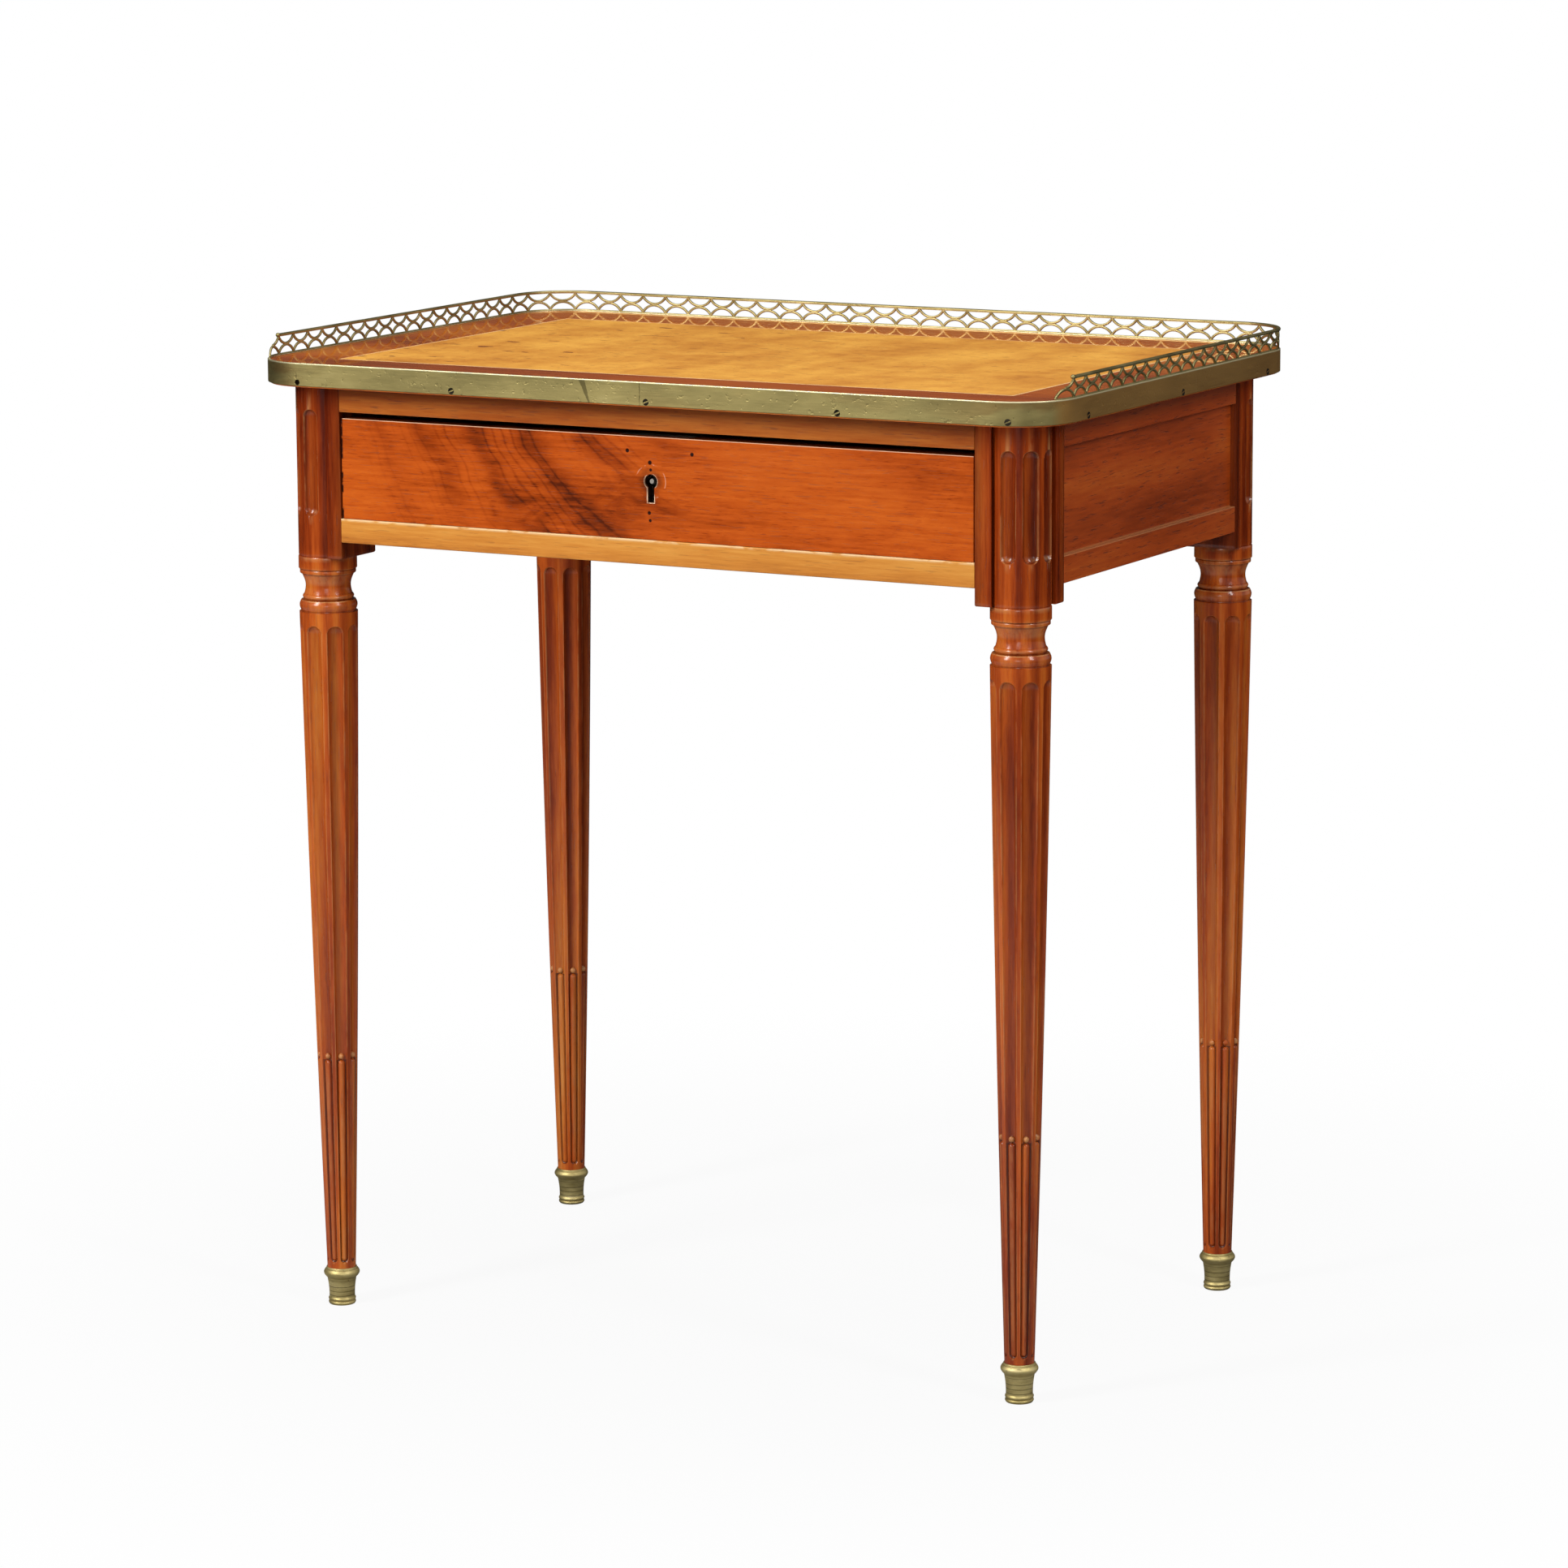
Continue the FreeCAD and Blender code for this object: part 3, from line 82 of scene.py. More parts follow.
class Field:
    """A value that changes over a surface. Arithmetic on it adds Math nodes to its finish."""

    def __init__(self, finish, socket):
        self.finish, self.socket = finish, socket

    def math(self, operation, *others):
        return self.finish.math(operation, self, *others)

    def __add__(self, other):
        return self.math("ADD", other)

    def __sub__(self, other):
        return self.math("SUBTRACT", other)

    def __rsub__(self, other):
        return self.finish.math("SUBTRACT", other, self)

    def __mul__(self, other):
        return self.math("MULTIPLY", other)

    def __pow__(self, other):
        return self.math("POWER", other)

    def __abs__(self):
        return self.math("ABSOLUTE")

    __radd__ = __add__
    __rmul__ = __mul__

    def least(self, other):
        return self.math("MINIMUM", other)

    def most(self, other):
        return self.math("MAXIMUM", other)

    def sine(self):
        return self.math("SINE")

    def rise(self, low, high):
        """Runs smoothly from 0 at low to 1 at high. It falls if high is under low."""
        flip = high < low
        settings = {"interpolation_type": "SMOOTHSTEP"}
        ends = {"Value": self, "From Min": min(low, high), "From Max": max(low, high),
                "To Min": 1.0 if flip else 0.0, "To Max": 0.0 if flip else 1.0}
        return self.finish.add("ShaderNodeMapRange", settings, ends)

    def near(self, place, reach):
        """1 at a place, smoothly down to 0 at a distance of reach."""
        return abs(self - place).rise(reach, 0)

    def away(self, other):
        """Distance from a place that lies this far off one way and other the other way."""
        return (self ** 2 + other ** 2).math("SQRT")


class Finish:
    """A material under construction, or the world's surroundings."""

    def __init__(self, name, world=False, **constants):
        self.material = (bpy.data.worlds if world else bpy.data.materials).new(name)
        self.material.use_nodes = True
        self.tree = self.material.node_tree
        self.shader = self.tree.nodes["Background" if world else "Principled BSDF"]
        for socket, value in constants.items():
            self.shader.inputs[socket.replace("_", " ")].default_value = value
        self.place = self.add("ShaderNodeTexCoord", output="Object")
        self.x, self.y, self.z = self.split(self.place)

    def glow(self, kind, strength):
        """A white light-giving shader, for the floor or the world."""
        return self.add(kind, inputs={"Color": (1, 1, 1, 1), "Strength": strength})

    def over(self, factor, under, shader):
        """Puts one shader over another and makes that the surface."""
        mixed = self.add("ShaderNodeMixShader", inputs={0: factor, 1: under, 2: shader})
        ends = [n for n in self.tree.nodes if n.bl_idname.startswith("ShaderNodeOutput")]
        self.feed(ends[0].inputs[0], mixed)
        return mixed

    def node(self, kind, settings=None, inputs=None):
        """A new node. Every node of a finish is made here."""
        node = self.tree.nodes.new(kind)
        for name, value in (settings or {}).items():
            setattr(node, name, value)
        for key, value in (inputs or {}).items():
            self.feed(node.inputs[key], value)
        return node

    def add(self, kind, settings=None, inputs=None, output=0):
        """One output of a new node, as a field."""
        return Field(self, self.node(kind, settings, inputs).outputs[output])

    def feed(self, socket, value):
        if isinstance(value, Field):
            self.tree.links.new(value.socket, socket)
        else:
            socket.default_value = value

    def math(self, operation, *values):
        return self.add("ShaderNodeMath", {"operation": operation}, dict(enumerate(values)))

    def split(self, vector):
        parts = self.node("ShaderNodeSeparateXYZ", inputs={0: vector})
        return [Field(self, output) for output in parts.outputs]

    def join(self, x, y, z):
        return self.add("ShaderNodeCombineXYZ", inputs={0: x, 1: y, 2: z})

    def stretched(self, x, y, z):
        """The piece's coordinates, each axis times its own number."""
        return self.add("ShaderNodeVectorMath", {"operation": "MULTIPLY"},
                        {0: self.place, 1: (x, y, z)})

    def noise(self, vector, detail=3.0, roughness=0.5, distortion=0.0):
        return self.add("ShaderNodeTexNoise", {"noise_dimensions": "3D"},
                        {"Vector": vector, "Scale": 1.0, "Detail": detail,
                         "Roughness": roughness, "Distortion": distortion})

    def mix(self, factor, under, over):
        return self.add("ShaderNodeMix", {"data_type": "RGBA"},
                        {0: factor, 6: under, 7: over}, output=2)

    def ramp(self, value, stops):
        """Colour along evenly spaced stops."""
        node = self.node("ShaderNodeValToRGB", inputs={0: value})
        elements = node.color_ramp.elements
        for index, colour in enumerate(stops):
            at = index / (len(stops) - 1)
            element = elements[index] if index < 2 else elements.new(at)
            element.position = at
            element.color = colour
        return Field(self, node.outputs[0])

    def attribute(self, name):
        return self.add("ShaderNodeAttribute", {"attribute_name": name}, output="Fac")

    def finished(self, colour, roughness, height, depth):
        """The material itself. height is the surface's relief, from 0 to 1, and depth its size."""
        bump = self.add("ShaderNodeBump", inputs={"Height": height, "Distance": depth,
                                                  "Strength": 1.0})
        self.feed(self.shader.inputs["Base Color"], colour)
        self.feed(self.shader.inputs["Roughness"], roughness)
        self.feed(self.shader.inputs["Normal"], bump)
        return self.material


# Wood

class Wood(Finish):
    """Polished wood. grain is the axis that its fibres follow, 0 to 2 for X to Z, tones run
    from dark to light, and figure says how strongly the growth rings show. ring is how many
    radians of ring pass in a metre, and pores how dark the pores are."""

    def __init__(self, name, grain, tones, figure, ring, pores=0.6, **more):
        super().__init__(name, **{"Specular_IOR_Level": 0.28, **more})
        along = [1.0, 1.0, 1.0]
        along[grain] = 0.06
        wander = self.noise(self.stretched(*[6 * a for a in along]), detail=2.0)
        across = [self.y, self.x, self.x][grain] + [self.z, self.z, self.y][grain] * 1.4
        growth = (across * ring + wander * 5.0).sine() * 0.5 + 0.5
        self.fibre = self.noise(self.stretched(*[420 * a for a in along]), detail=5.0,
                                roughness=0.65)
        self.cloud = self.noise(self.stretched(*[14 * a ** 0.5 for a in along]), detail=3.0)
        vessels = [900.0, 900.0, 900.0]
        vessels[grain] = 70.0
        self.pore = self.noise(self.stretched(*vessels), detail=1.0).rise(0.62, 0.72) * pores
        self.tone = growth * figure + self.fibre * 0.65 + self.cloud * 0.9 - 0.5 * figure - 0.3
        self.tones = tones

    def polished(self, tone=None, pale=None, dark=None, gloss=0.3, pale_tone=None,
                 dark_tone=None):
        """Colour from the tone, then pale places, from wear and painted highlights, and dark ones,
        from dirt and painted shade.
        """
        colour = self.ramp(self.tone if tone is None else tone, self.tones)
        colour = self.mix(self.pore * 0.6, colour, paint("#2c1004"))
        if pale is not None:
            colour = self.mix(pale, colour, pale_tone or paint("#c08a55"))
        if dark is not None:
            colour = self.mix(dark, colour, dark_tone or paint("#170a06"))
        rough = self.fibre * 0.12 + self.cloud * 0.15 + (gloss - 0.1) + self.pore * 0.2
        return self.finished(colour, rough, self.fibre * 0.35 - self.pore * 0.3, 0.0001)


LEG_TONES = paints("#571804", "#85310a", "#a94b15", "#be6723", "#d08b42")
FRONT_TONES = paints("#4e1a04", "#8c3506", "#b04b0f", "#c25c16", "#d27a2f")
RAIL_TONES = paints("#7a4010", "#a5601e", "#bf7a2c", "#cf923f", "#e0ad5e")
GOLD_TONES = paints("#4c1e04", "#7e3308", "#a04e10", "#b8691e", "#cd8d3e")
CASE_TONES = paints("#501a06", "#80300a", "#9f4010", "#b05218", "#bd6a30")
TOP_TONES = paints("#8a3a08", "#c2570a", "#de6c12", "#ea8222", "#f2a244")
PLAIN_TONES = paints("#5e4328", "#7c5b38", "#947049", "#a9845a", "#bc986d")


# Heights between which the legs' wood darkens to the posts' tone
POST_TINT_ENDS = 580 * MM, 600 * MM


def leg_wood():
    """Mahogany, pale on its edges from wear and painted highlights, with a painted reflection on
    the neck, and dark in its hollows from old polish and painted shade.
    """
    wood = Wood("leg_mahogany", 2, LEG_TONES, figure=0.3, ring=300.0, pores=0.4,
                Specular_IOR_Level=0.32)
    grime_and_shade, wear_and_highlight = wood.attribute("grime_and_shade"), wood.attribute("wear_and_highlight")
    patch = wood.noise(wood.stretched(60, 60, 18), detail=4.0, roughness=0.7)
    # Pale is wear with painted highlights and the neck's painted reflection; dark is old polish
    # with painted shade.
    pale = (wear_and_highlight * patch.rise(0.38, 0.62)).least(1.0) * 0.75
    dark = grime_and_shade * (0.25 + patch * 0.7)
    on_post = wood.z.rise(*POST_TINT_ENDS)
    return wood.polished(tone=wood.tone - on_post * 0.22, pale=pale, dark=dark.least(0.9),
                         gloss=0.17, dark_tone=paint("#331206"))


# Middle of the arches on the drawer's front: right of the board's middle and over its top edge
ARCH_X, ARCH_OVER = 70 * MM, 100 * MM
# Middle of the swirl left of the keyhole: from the board's middle
SWIRL_X, SWIRL_UNDER = -60 * MM, 16 * MM
# Keyhole: its round part and its slot, and the ring that a lost plate left round it
KEYHOLE_RADIUS, SLOT_HALF, SLOT_REACH = 5.3 * MM, 2.8 * MM, 7.8 * MM
PLATE_RADIUS = 12.5 * MM
pin_x, pin_z = (pin_low.x + pin_high.x) / 2, (pin_low.z + pin_high.z) / 2
# Old nail holes round the keyhole: place from its pin, and radius
NAIL_HOLES = [(pin_x - 0.6 * MM, pin_z + 14 * MM, 1.6 * MM), (pin_x, pin_z + 8.6 * MM, 1.2 * MM),
              (pin_x - 1.5 * MM, pin_z - 23.3 * MM, 1.4 * MM),
              (pin_x - 0.7 * MM, pin_z - 28.9 * MM, 1.2 * MM),
              (pin_x - 19.6 * MM, pin_z + 22 * MM, 1.5 * MM),
              (pin_x + 34.9 * MM, pin_z + 21.8 * MM, 1.5 * MM)]


def spot(finish, x, z, size):
    """1 inside a round mark on a face that looks along Y."""
    return (finish.x - x).away(finish.z - z).rise(size * 1.25, size * 0.75)


def front_wood():
    """Walnut with an arched figure: dark lines and broad shades round a place over the board,
    which sweep down from its upper left, and a swirl beside the keyhole. The right is nearly
    straight. The keyhole has a worn rim and walls painted dark as the shade inside it, with old
    nail holes round it."""
    wood = Wood("drawer_walnut", 0, FRONT_TONES, figure=0.1, ring=60.0, pores=0.4)
    x, z = wood.x, wood.z
    waver = wood.noise(wood.stretched(13, 1, 20), detail=2.5)
    ring = (x - ARCH_X).away(z - (front_high.z + ARCH_OVER)) + waver * 0.014
    lines = ((ring * 850 + waver * 6).sine() * 0.5 + 0.5) ** 5
    lines = lines * wood.noise(wood.join(ring * 55, 0, waver), detail=1.0).rise(0.35, 0.6)
    broad = (ring * 150 + waver * 4).sine() * 0.5 + 0.5
    patch = wood.noise(wood.stretched(9, 1, 26), detail=2.0).rise(0.2, 0.55)
    left = x.rise(100 * MM, -60 * MM) * x.rise(front_low.x, front_low.x + 100 * MM)
    arched = (left * 0.85 + 0.15) * patch
    middle = (front_low.z + front_high.z) / 2
    burl = (((x - SWIRL_X) * 11) ** 2 + ((z - middle + SWIRL_UNDER) * 36) ** 2).rise(1.2, 0.0)
    swirl = wood.noise(wood.stretched(45, 1, 90), detail=4.0, distortion=1.2) - 0.5
    dash = wood.noise(wood.stretched(110, 1, 1300), detail=1.0).rise(0.62, 0.7)
    tone = (wood.tone + 0.03 - arched * (lines * 0.14 + broad * broad * 0.24)
            - burl * 0.22 + swirl * (burl * 0.35 + 0.22) - dash * 0.16)
    lift = wood.noise(wood.stretched(160, 1, 160), detail=3.0)
    edge = z.rise(front_high.z - 0.6 * MM, front_high.z - 0.3 * MM)
    edge = edge * wood.y.rise(front_low.y + 0.7 * MM, front_low.y + 0.4 * MM)
    dark = x.rise(front_low.x + 1.6 * MM, front_low.x + 0.6 * MM) * lift.rise(0.4, 0.55)
    behind = wood.y.rise(front_low.y + 0.7 * MM, front_low.y + 1.4 * MM)
    dark = dark.most(behind * z.rise(front_high.z - 0.3 * MM, front_high.z - 0.1 * MM) * 0.6)
    for mark_x, mark_z, size in NAIL_HOLES:
        dark = dark.most(spot(wood, mark_x, mark_z, size))
    away = (x - pin_x).away(z - pin_z)
    worn = away.near(PLATE_RADIUS, 0.7 * MM) * lift.rise(0.5, 0.6) * 0.3
    slot = (abs(x - pin_x) - SLOT_HALF).most(abs(z - pin_z + SLOT_REACH) - SLOT_REACH)
    hole = (away - KEYHOLE_RADIUS).least(slot)
    worn = worn.most(hole.near(0.3 * MM, 0.6 * MM) * lift.rise(0.35, 0.5))
    # Painted shade: the keyhole's walls behind the face darkened as the inside of the hole.
    dark = dark.most(behind * hole.rise(0.8 * MM, 0.3 * MM))
    pale = (edge * lift.rise(0.2, 0.35) * 0.8).most(worn)
    dark = dark.most(away.rise(13 * MM, 5 * MM) * lift.rise(0.15, 0.7) * 0.75)
    return wood.polished(tone=tone, pale=pale, dark=dark, gloss=0.2, pale_tone=paint("#efc9a6"),
                         dark_tone=paint("#260d05"))


# Metal and leather

def aged_brass(name, tones, gloss, stain="#3b2c17", detail=1.0):
    """Brass with cloudy tarnish, small pits and fine scratches."""
    metal = Finish(name, Metallic=1.0)
    cloud = metal.noise(metal.stretched(9 * detail, 9 * detail, 30 * detail), detail=5.0,
                        roughness=0.65)
    speck = metal.noise(metal.stretched(300, 300, 300), detail=2.0)
    scratch = metal.noise(metal.stretched(60, 60, 900), detail=2.0, distortion=0.4)
    colour = metal.ramp(cloud * 1.5 - 0.3 + scratch * 0.15, paints(*tones))
    colour = metal.mix(speck.rise(0.68, 0.76) * 0.35, colour, paint(stain))
    rough = cloud * 0.25 + gloss + scratch * 0.1
    height = cloud * 0.4 + scratch * 0.3 - speck.rise(0.6, 0.75) * 0.6
    return metal, colour, rough, height


# Places along the band's front: its seam, its wedge-shaped patch and its lost screw
SEAM_X, PATCH_X, LOST_SCREW_X = 8 * MM, -41 * MM, -289.5 * MM
# Height of the band's screws over its lower edge
SCREW_RISE = 2.9 * MM


def band_brass():
    """Dull brass, browner at its ends and painted browner on the right side for the light it
    reflects there, with a painted highlight along its upper lip, a seam, a dark patch and the empty
    hole of a lost screw, painted dark as the shade inside it."""
    metal, colour, rough, height = aged_brass(
        "band_brass", ("#6f6740", "#887c4f", "#9d8f5c", "#b3a471"), 0.3)
    blotch = metal.noise(metal.stretched(14, 14, 40), detail=4.0).rise(0.5, 0.62)
    ends = abs(metal.x).rise(band_high.x - 90 * MM, band_high.x - 20 * MM)
    colour = metal.mix(blotch * (ends * 0.45 + 0.12), colour, paint("#7a5a33"))
    # Painted reflection: the right side's face painted browner for the light it reflects.
    side = metal.x.rise(band_high.x - 8 * MM, band_high.x - 1 * MM)
    colour = metal.mix(side * 0.8, colour, paint("#bc8c4c"))
    front = metal.y.rise(band_low.y + 30 * MM, band_low.y)
    ragged = metal.noise(metal.stretched(300, 1, 300), detail=2.0) * (1.6 * MM)
    seam = (metal.x + ragged - SEAM_X).near(0, 0.35 * MM)
    wedge = (band_high.z - metal.z) * 0.12
    slant = abs(metal.x + ragged - PATCH_X - wedge * 3) + (wedge - 2.4 * MM)
    # The lost screw's hole is painted dark as shade; the seam and the patch are marks of the brass.
    lost = (metal.x - LOST_SCREW_X).away(metal.z - band_low.z - SCREW_RISE)
    marks = seam.most(slant.rise(0.5 * MM, 0) * 0.55).most(lost.rise(2.3 * MM, 1.9 * MM))
    colour = metal.mix(marks * front, colour, paint("#140d06"))
    # Painted highlight: a bright strip along the upper lip of the band's faces.
    lip = metal.z.rise(band_high.z - 1.2 * MM, band_high.z - 0.6 * MM)
    colour = metal.mix(lip * 0.75, colour, paint("#e3dcb4"))
    return metal.finished(colour, rough, height, 0.00015)


def gallery_brass():
    """Paler brass than the band's, with finer tarnish."""
    metal, colour, rough, height = aged_brass(
        "gallery_brass", ("#584e2e", "#7d7147", "#998d60", "#bfb386"), 0.27, detail=3.0)
    return metal.finished(colour, rough, height, 0.0001)


# Heights of the turned lines on the shoes, in mm
SHOE_LINES = 19.5, 14.6, 11.0, 7.6


def sabot_brass():
    """Brass of the shoes, with fine dark lines turned into them."""
    metal, colour, rough, height = aged_brass(
        "sabot_brass", ("#6c5c38", "#a2925e", "#c1b17a", "#dccfa2"), 0.36, detail=4.0)
    line = metal.z.near(SHOE_LINES[0] * MM, 0.4 * MM) * 0.5
    for level in SHOE_LINES[1:]:
        line = line.most(metal.z.near(level * MM, 0.45 * MM) * 0.8)
    colour = metal.mix(line, colour, paint("#2e2413"))
    return metal.finished(colour, rough, height, 0.0002)


def old_iron(name, *tones):
    """Iron with the same wear as the brass, and rust for tarnish."""
    metal, colour, rough, height = aged_brass(name, tones, 0.35, "#5a3522", 3.0)
    return metal.finished(colour, rough, height, 0.0001)


def ochre_leather():
    """Worn golden leather: cloudy patches, short dark dashes and a pale ragged rim."""
    hide = Finish("ochre_leather", Specular_IOR_Level=0.4)
    cloud = hide.noise(hide.stretched(15, 8, 1), detail=7.0, roughness=0.7)
    streak = hide.noise(hide.stretched(25, 50, 1), detail=5.0, roughness=0.65)
    dash = hide.noise(hide.stretched(90, 330, 1), detail=1.0).rise(0.66, 0.72)
    torn = hide.noise(hide.stretched(38, 110, 1), detail=3.0).rise(0.66, 0.69)
    dash = dash.most(torn * hide.x.rise(100 * MM, -150 * MM) * 2.2)
    speck = hide.noise(hide.stretched(260, 260, 1), detail=1.0).rise(0.7, 0.76)
    colour = hide.ramp(cloud * 1.3 + streak * 0.6 - 0.5,
                       paints("#8c4c10", "#c27f2a", "#dc9f3e", "#eabb5e"))
    colour = hide.mix((dash * 0.45).most(speck * 0.4), colour, paint("#70350f"))
    ragged = hide.noise(hide.stretched(120, 120, 1), detail=3.0) * (3 * MM)
    inside = (hide.x - leather_low.x).least(leather_high.x - hide.x)
    inside = inside.least(hide.y - leather_low.y).least(leather_high.y - hide.y)
    colour = hide.mix((inside - ragged).rise(1.2 * MM, -0.5 * MM) * 0.8, colour,
                      paint("#d9b988"))
    rough = 0.42 + cloud * 0.15
    return hide.finished(colour, rough, dash * -1 + streak * 0.3, 0.00012)


# Geometry kit

def in_scene(name, content):
    """A new object that the scene shows."""
    item = bpy.data.objects.new(name, content)
    bpy.context.collection.objects.link(item)
    return item


def tube(name, points, finish):
    """An object from rows of points, each row a closed outline and joined to the next row."""
    rows, columns = points.shape[:2]
    r, c = np.meshgrid(np.arange(rows - 1), np.arange(columns), indexing="ij")
    n = (c + 1) % columns
    faces = np.stack([r * columns + c, r * columns + n, (r + 1) * columns + n,
                      (r + 1) * columns + c], -1)
    mesh = bpy.data.meshes.new(name)
    mesh.from_pydata(points.reshape(-1, 3).tolist(), [], faces.reshape(-1, 4).tolist())
    mesh.materials.append(finish)
    mesh.shade_smooth()
    return in_scene(name, mesh)


def add_attribute(piece, name, values):
    layer = piece.data.attributes.new(name, "FLOAT", "POINT")
    layer.data.foreach_set("value", np.asarray(values, np.float32).ravel())


def dressed(node, finish, bevel, segments=2):
    """A copy of a CAD node's mesh, with its doubles merged and its edges rounded."""
    mesh = frame["nodes"][node].data.copy()
    mesh.materials.clear()
    mesh.materials.append(finish)
    work = bmesh.new()
    work.from_mesh(mesh)
    bmesh.ops.remove_doubles(work, verts=work.verts, dist=0.01 * MM)
    bmesh.ops.dissolve_limit(work, angle_limit=math.radians(0.5), verts=work.verts,
                             edges=work.edges)
    work.to_mesh(mesh)
    work.free()
    piece = in_scene(node + "_dressed", mesh)
    rounding = piece.modifiers.new("rounding", "BEVEL")
    rounding.width = bevel
    rounding.segments = segments
    rounding.limit_method = "ANGLE"
    rounding.angle_limit = math.radians(30)
    rounding.harden_normals = True
    rounding.use_clamp_overlap = True
    mesh.shade_smooth()
    mesh.set_sharp_from_angle(angle=math.radians(35))
    settle(piece, node)


def joined(pieces):
    """One object from several."""
    with bpy.context.temp_override(active_object=pieces[0], selected_editable_objects=pieces):
        bpy.ops.object.join()
    return pieces[0]


def sealed(piece, sharp):
    """Closes the open ends of tubes, turns every face outwards and keeps edges over an angle,
    in degrees, sharp."""
    work = bmesh.new()
    work.from_mesh(piece.data)
    bmesh.ops.holes_fill(work, edges=[e for e in work.edges if e.is_boundary], sides=0)
    bmesh.ops.recalc_face_normals(work, faces=work.faces)
    work.to_mesh(piece.data)
    work.free()
    piece.data.set_sharp_from_angle(angle=math.radians(sharp))
    return piece


def settle(piece, node):
    """The piece rides on its node's body and shows in its place."""
    body = next(name for name, listed in BODIES.items() if node in listed)
    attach(piece, body)
    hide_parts(node)


def arc(r0, z0, r1, z1, swell, count):
    """Radius and height along a line that swells out, or in if negative, as half a sine."""
    t = np.linspace(0, 1, count)
    return np.stack([r0 + (r1 - r0) * t + swell * np.sin(np.pi * t), z0 + (z1 - z0) * t], 1)


def steps(low, high, count):
    """Even steps that leave out the last place."""
    return np.linspace(low, high, count, endpoint=False)


def peak(value, place, reach):
    """1 where a value is at a place, straight down to 0 at a distance of reach."""
    return np.clip(1 - np.abs(value - place) / reach, 0, 1)


def along_all(column, count):
    """A column of values, the same in each of count columns."""
    return np.repeat(column[:, None], count, 1)


# Turned legs

FLUTES = 8
FLUTE_HALF, FLUTE_DEPTH = math.radians(16.3), 0.17
REED_CENTRE, REED_RADIUS = 0.8, 0.19
PEARL_CENTRE, PEARL_HEIGHT, PEARL_RADIUS = 0.86, 200.3 * MM, 2.3 * MM
REED_FOOT, REED_TOP = 1.5 * MM, 197.5 * MM
FLUTE_BOTTOM, FLUTE_TOP = 34.6 * MM, 537.6 * MM
SHAFT_BOTTOM, SHAFT_TOP = 30 * MM, 547.3 * MM
SHAFT_FOOT, SHAFT_HEAD, BELLY = 11.1 * MM, 22.3 * MM, 0.9 * MM
NECK_HEIGHT, POST_BOTTOM = 573.5 * MM, 590.6 * MM
# Over this height a ring of painted shade darkens the flutes just inside their outlines
OPEN_FLUTE = 400 * MM


def turned_profile():
    """Radius and height, in mm, over the leg's rings and neck up to its post."""
    runs = [
        arc(21.9, 547.3, 21.0, 547.7, 0, 3), arc(20.9, 548.3, 20.9, 548.6, 0, 2),
        arc(21.1, 548.7, 20.8, 556.3, 1.15, 22), arc(19.2, 556.5, 18.4, 556.9, 0, 3),
        arc(18.4, 557.0, 18.5, 561.0, 1.15, 14), arc(18.3, 561.1, 20.1, 576.7, -1.9, 26),
        arc(20.9, 576.8, 21.4, 577.3, 0, 4), arc(21.4, 577.5, 21.4, 579.4, 0, 3),
        arc(21.2, 579.7, 21.0, 580.2, 0, 3), arc(21.9, 580.4, 22.3, 580.9, 0, 4),
        arc(22.3, 581.2, 22.3, 589.8, 0, 6), arc(22.1, 590.3, 21.8, 590.6, 0, 3),
    ]
    return np.concatenate(runs) * MM


def past_ends(z, low, high, end):
    """How far a height lies into the last stretch at either end, in shares of that stretch."""
    return np.maximum(np.maximum(low + end - z, z - (high - end)), 0) / end


def fluted(across, past, depth):
    """How deep a round-ended flute goes in: full depth in its middle, nothing at its outline.
    across and past are shares of its half width and of its half-round ends."""
    return depth * np.maximum(1 - across ** 2 - past ** 2, 0) ** 0.5


def bulge_wall(centre, angle, reach):
    """Distance from the axis to the far side of a round bulge."""
    inside = reach ** 2 - (centre * np.sin(angle)) ** 2
    wall = centre * np.cos(angle) + np.sqrt(np.maximum(inside, 0))
    return np.where(inside > 0, wall, 0)


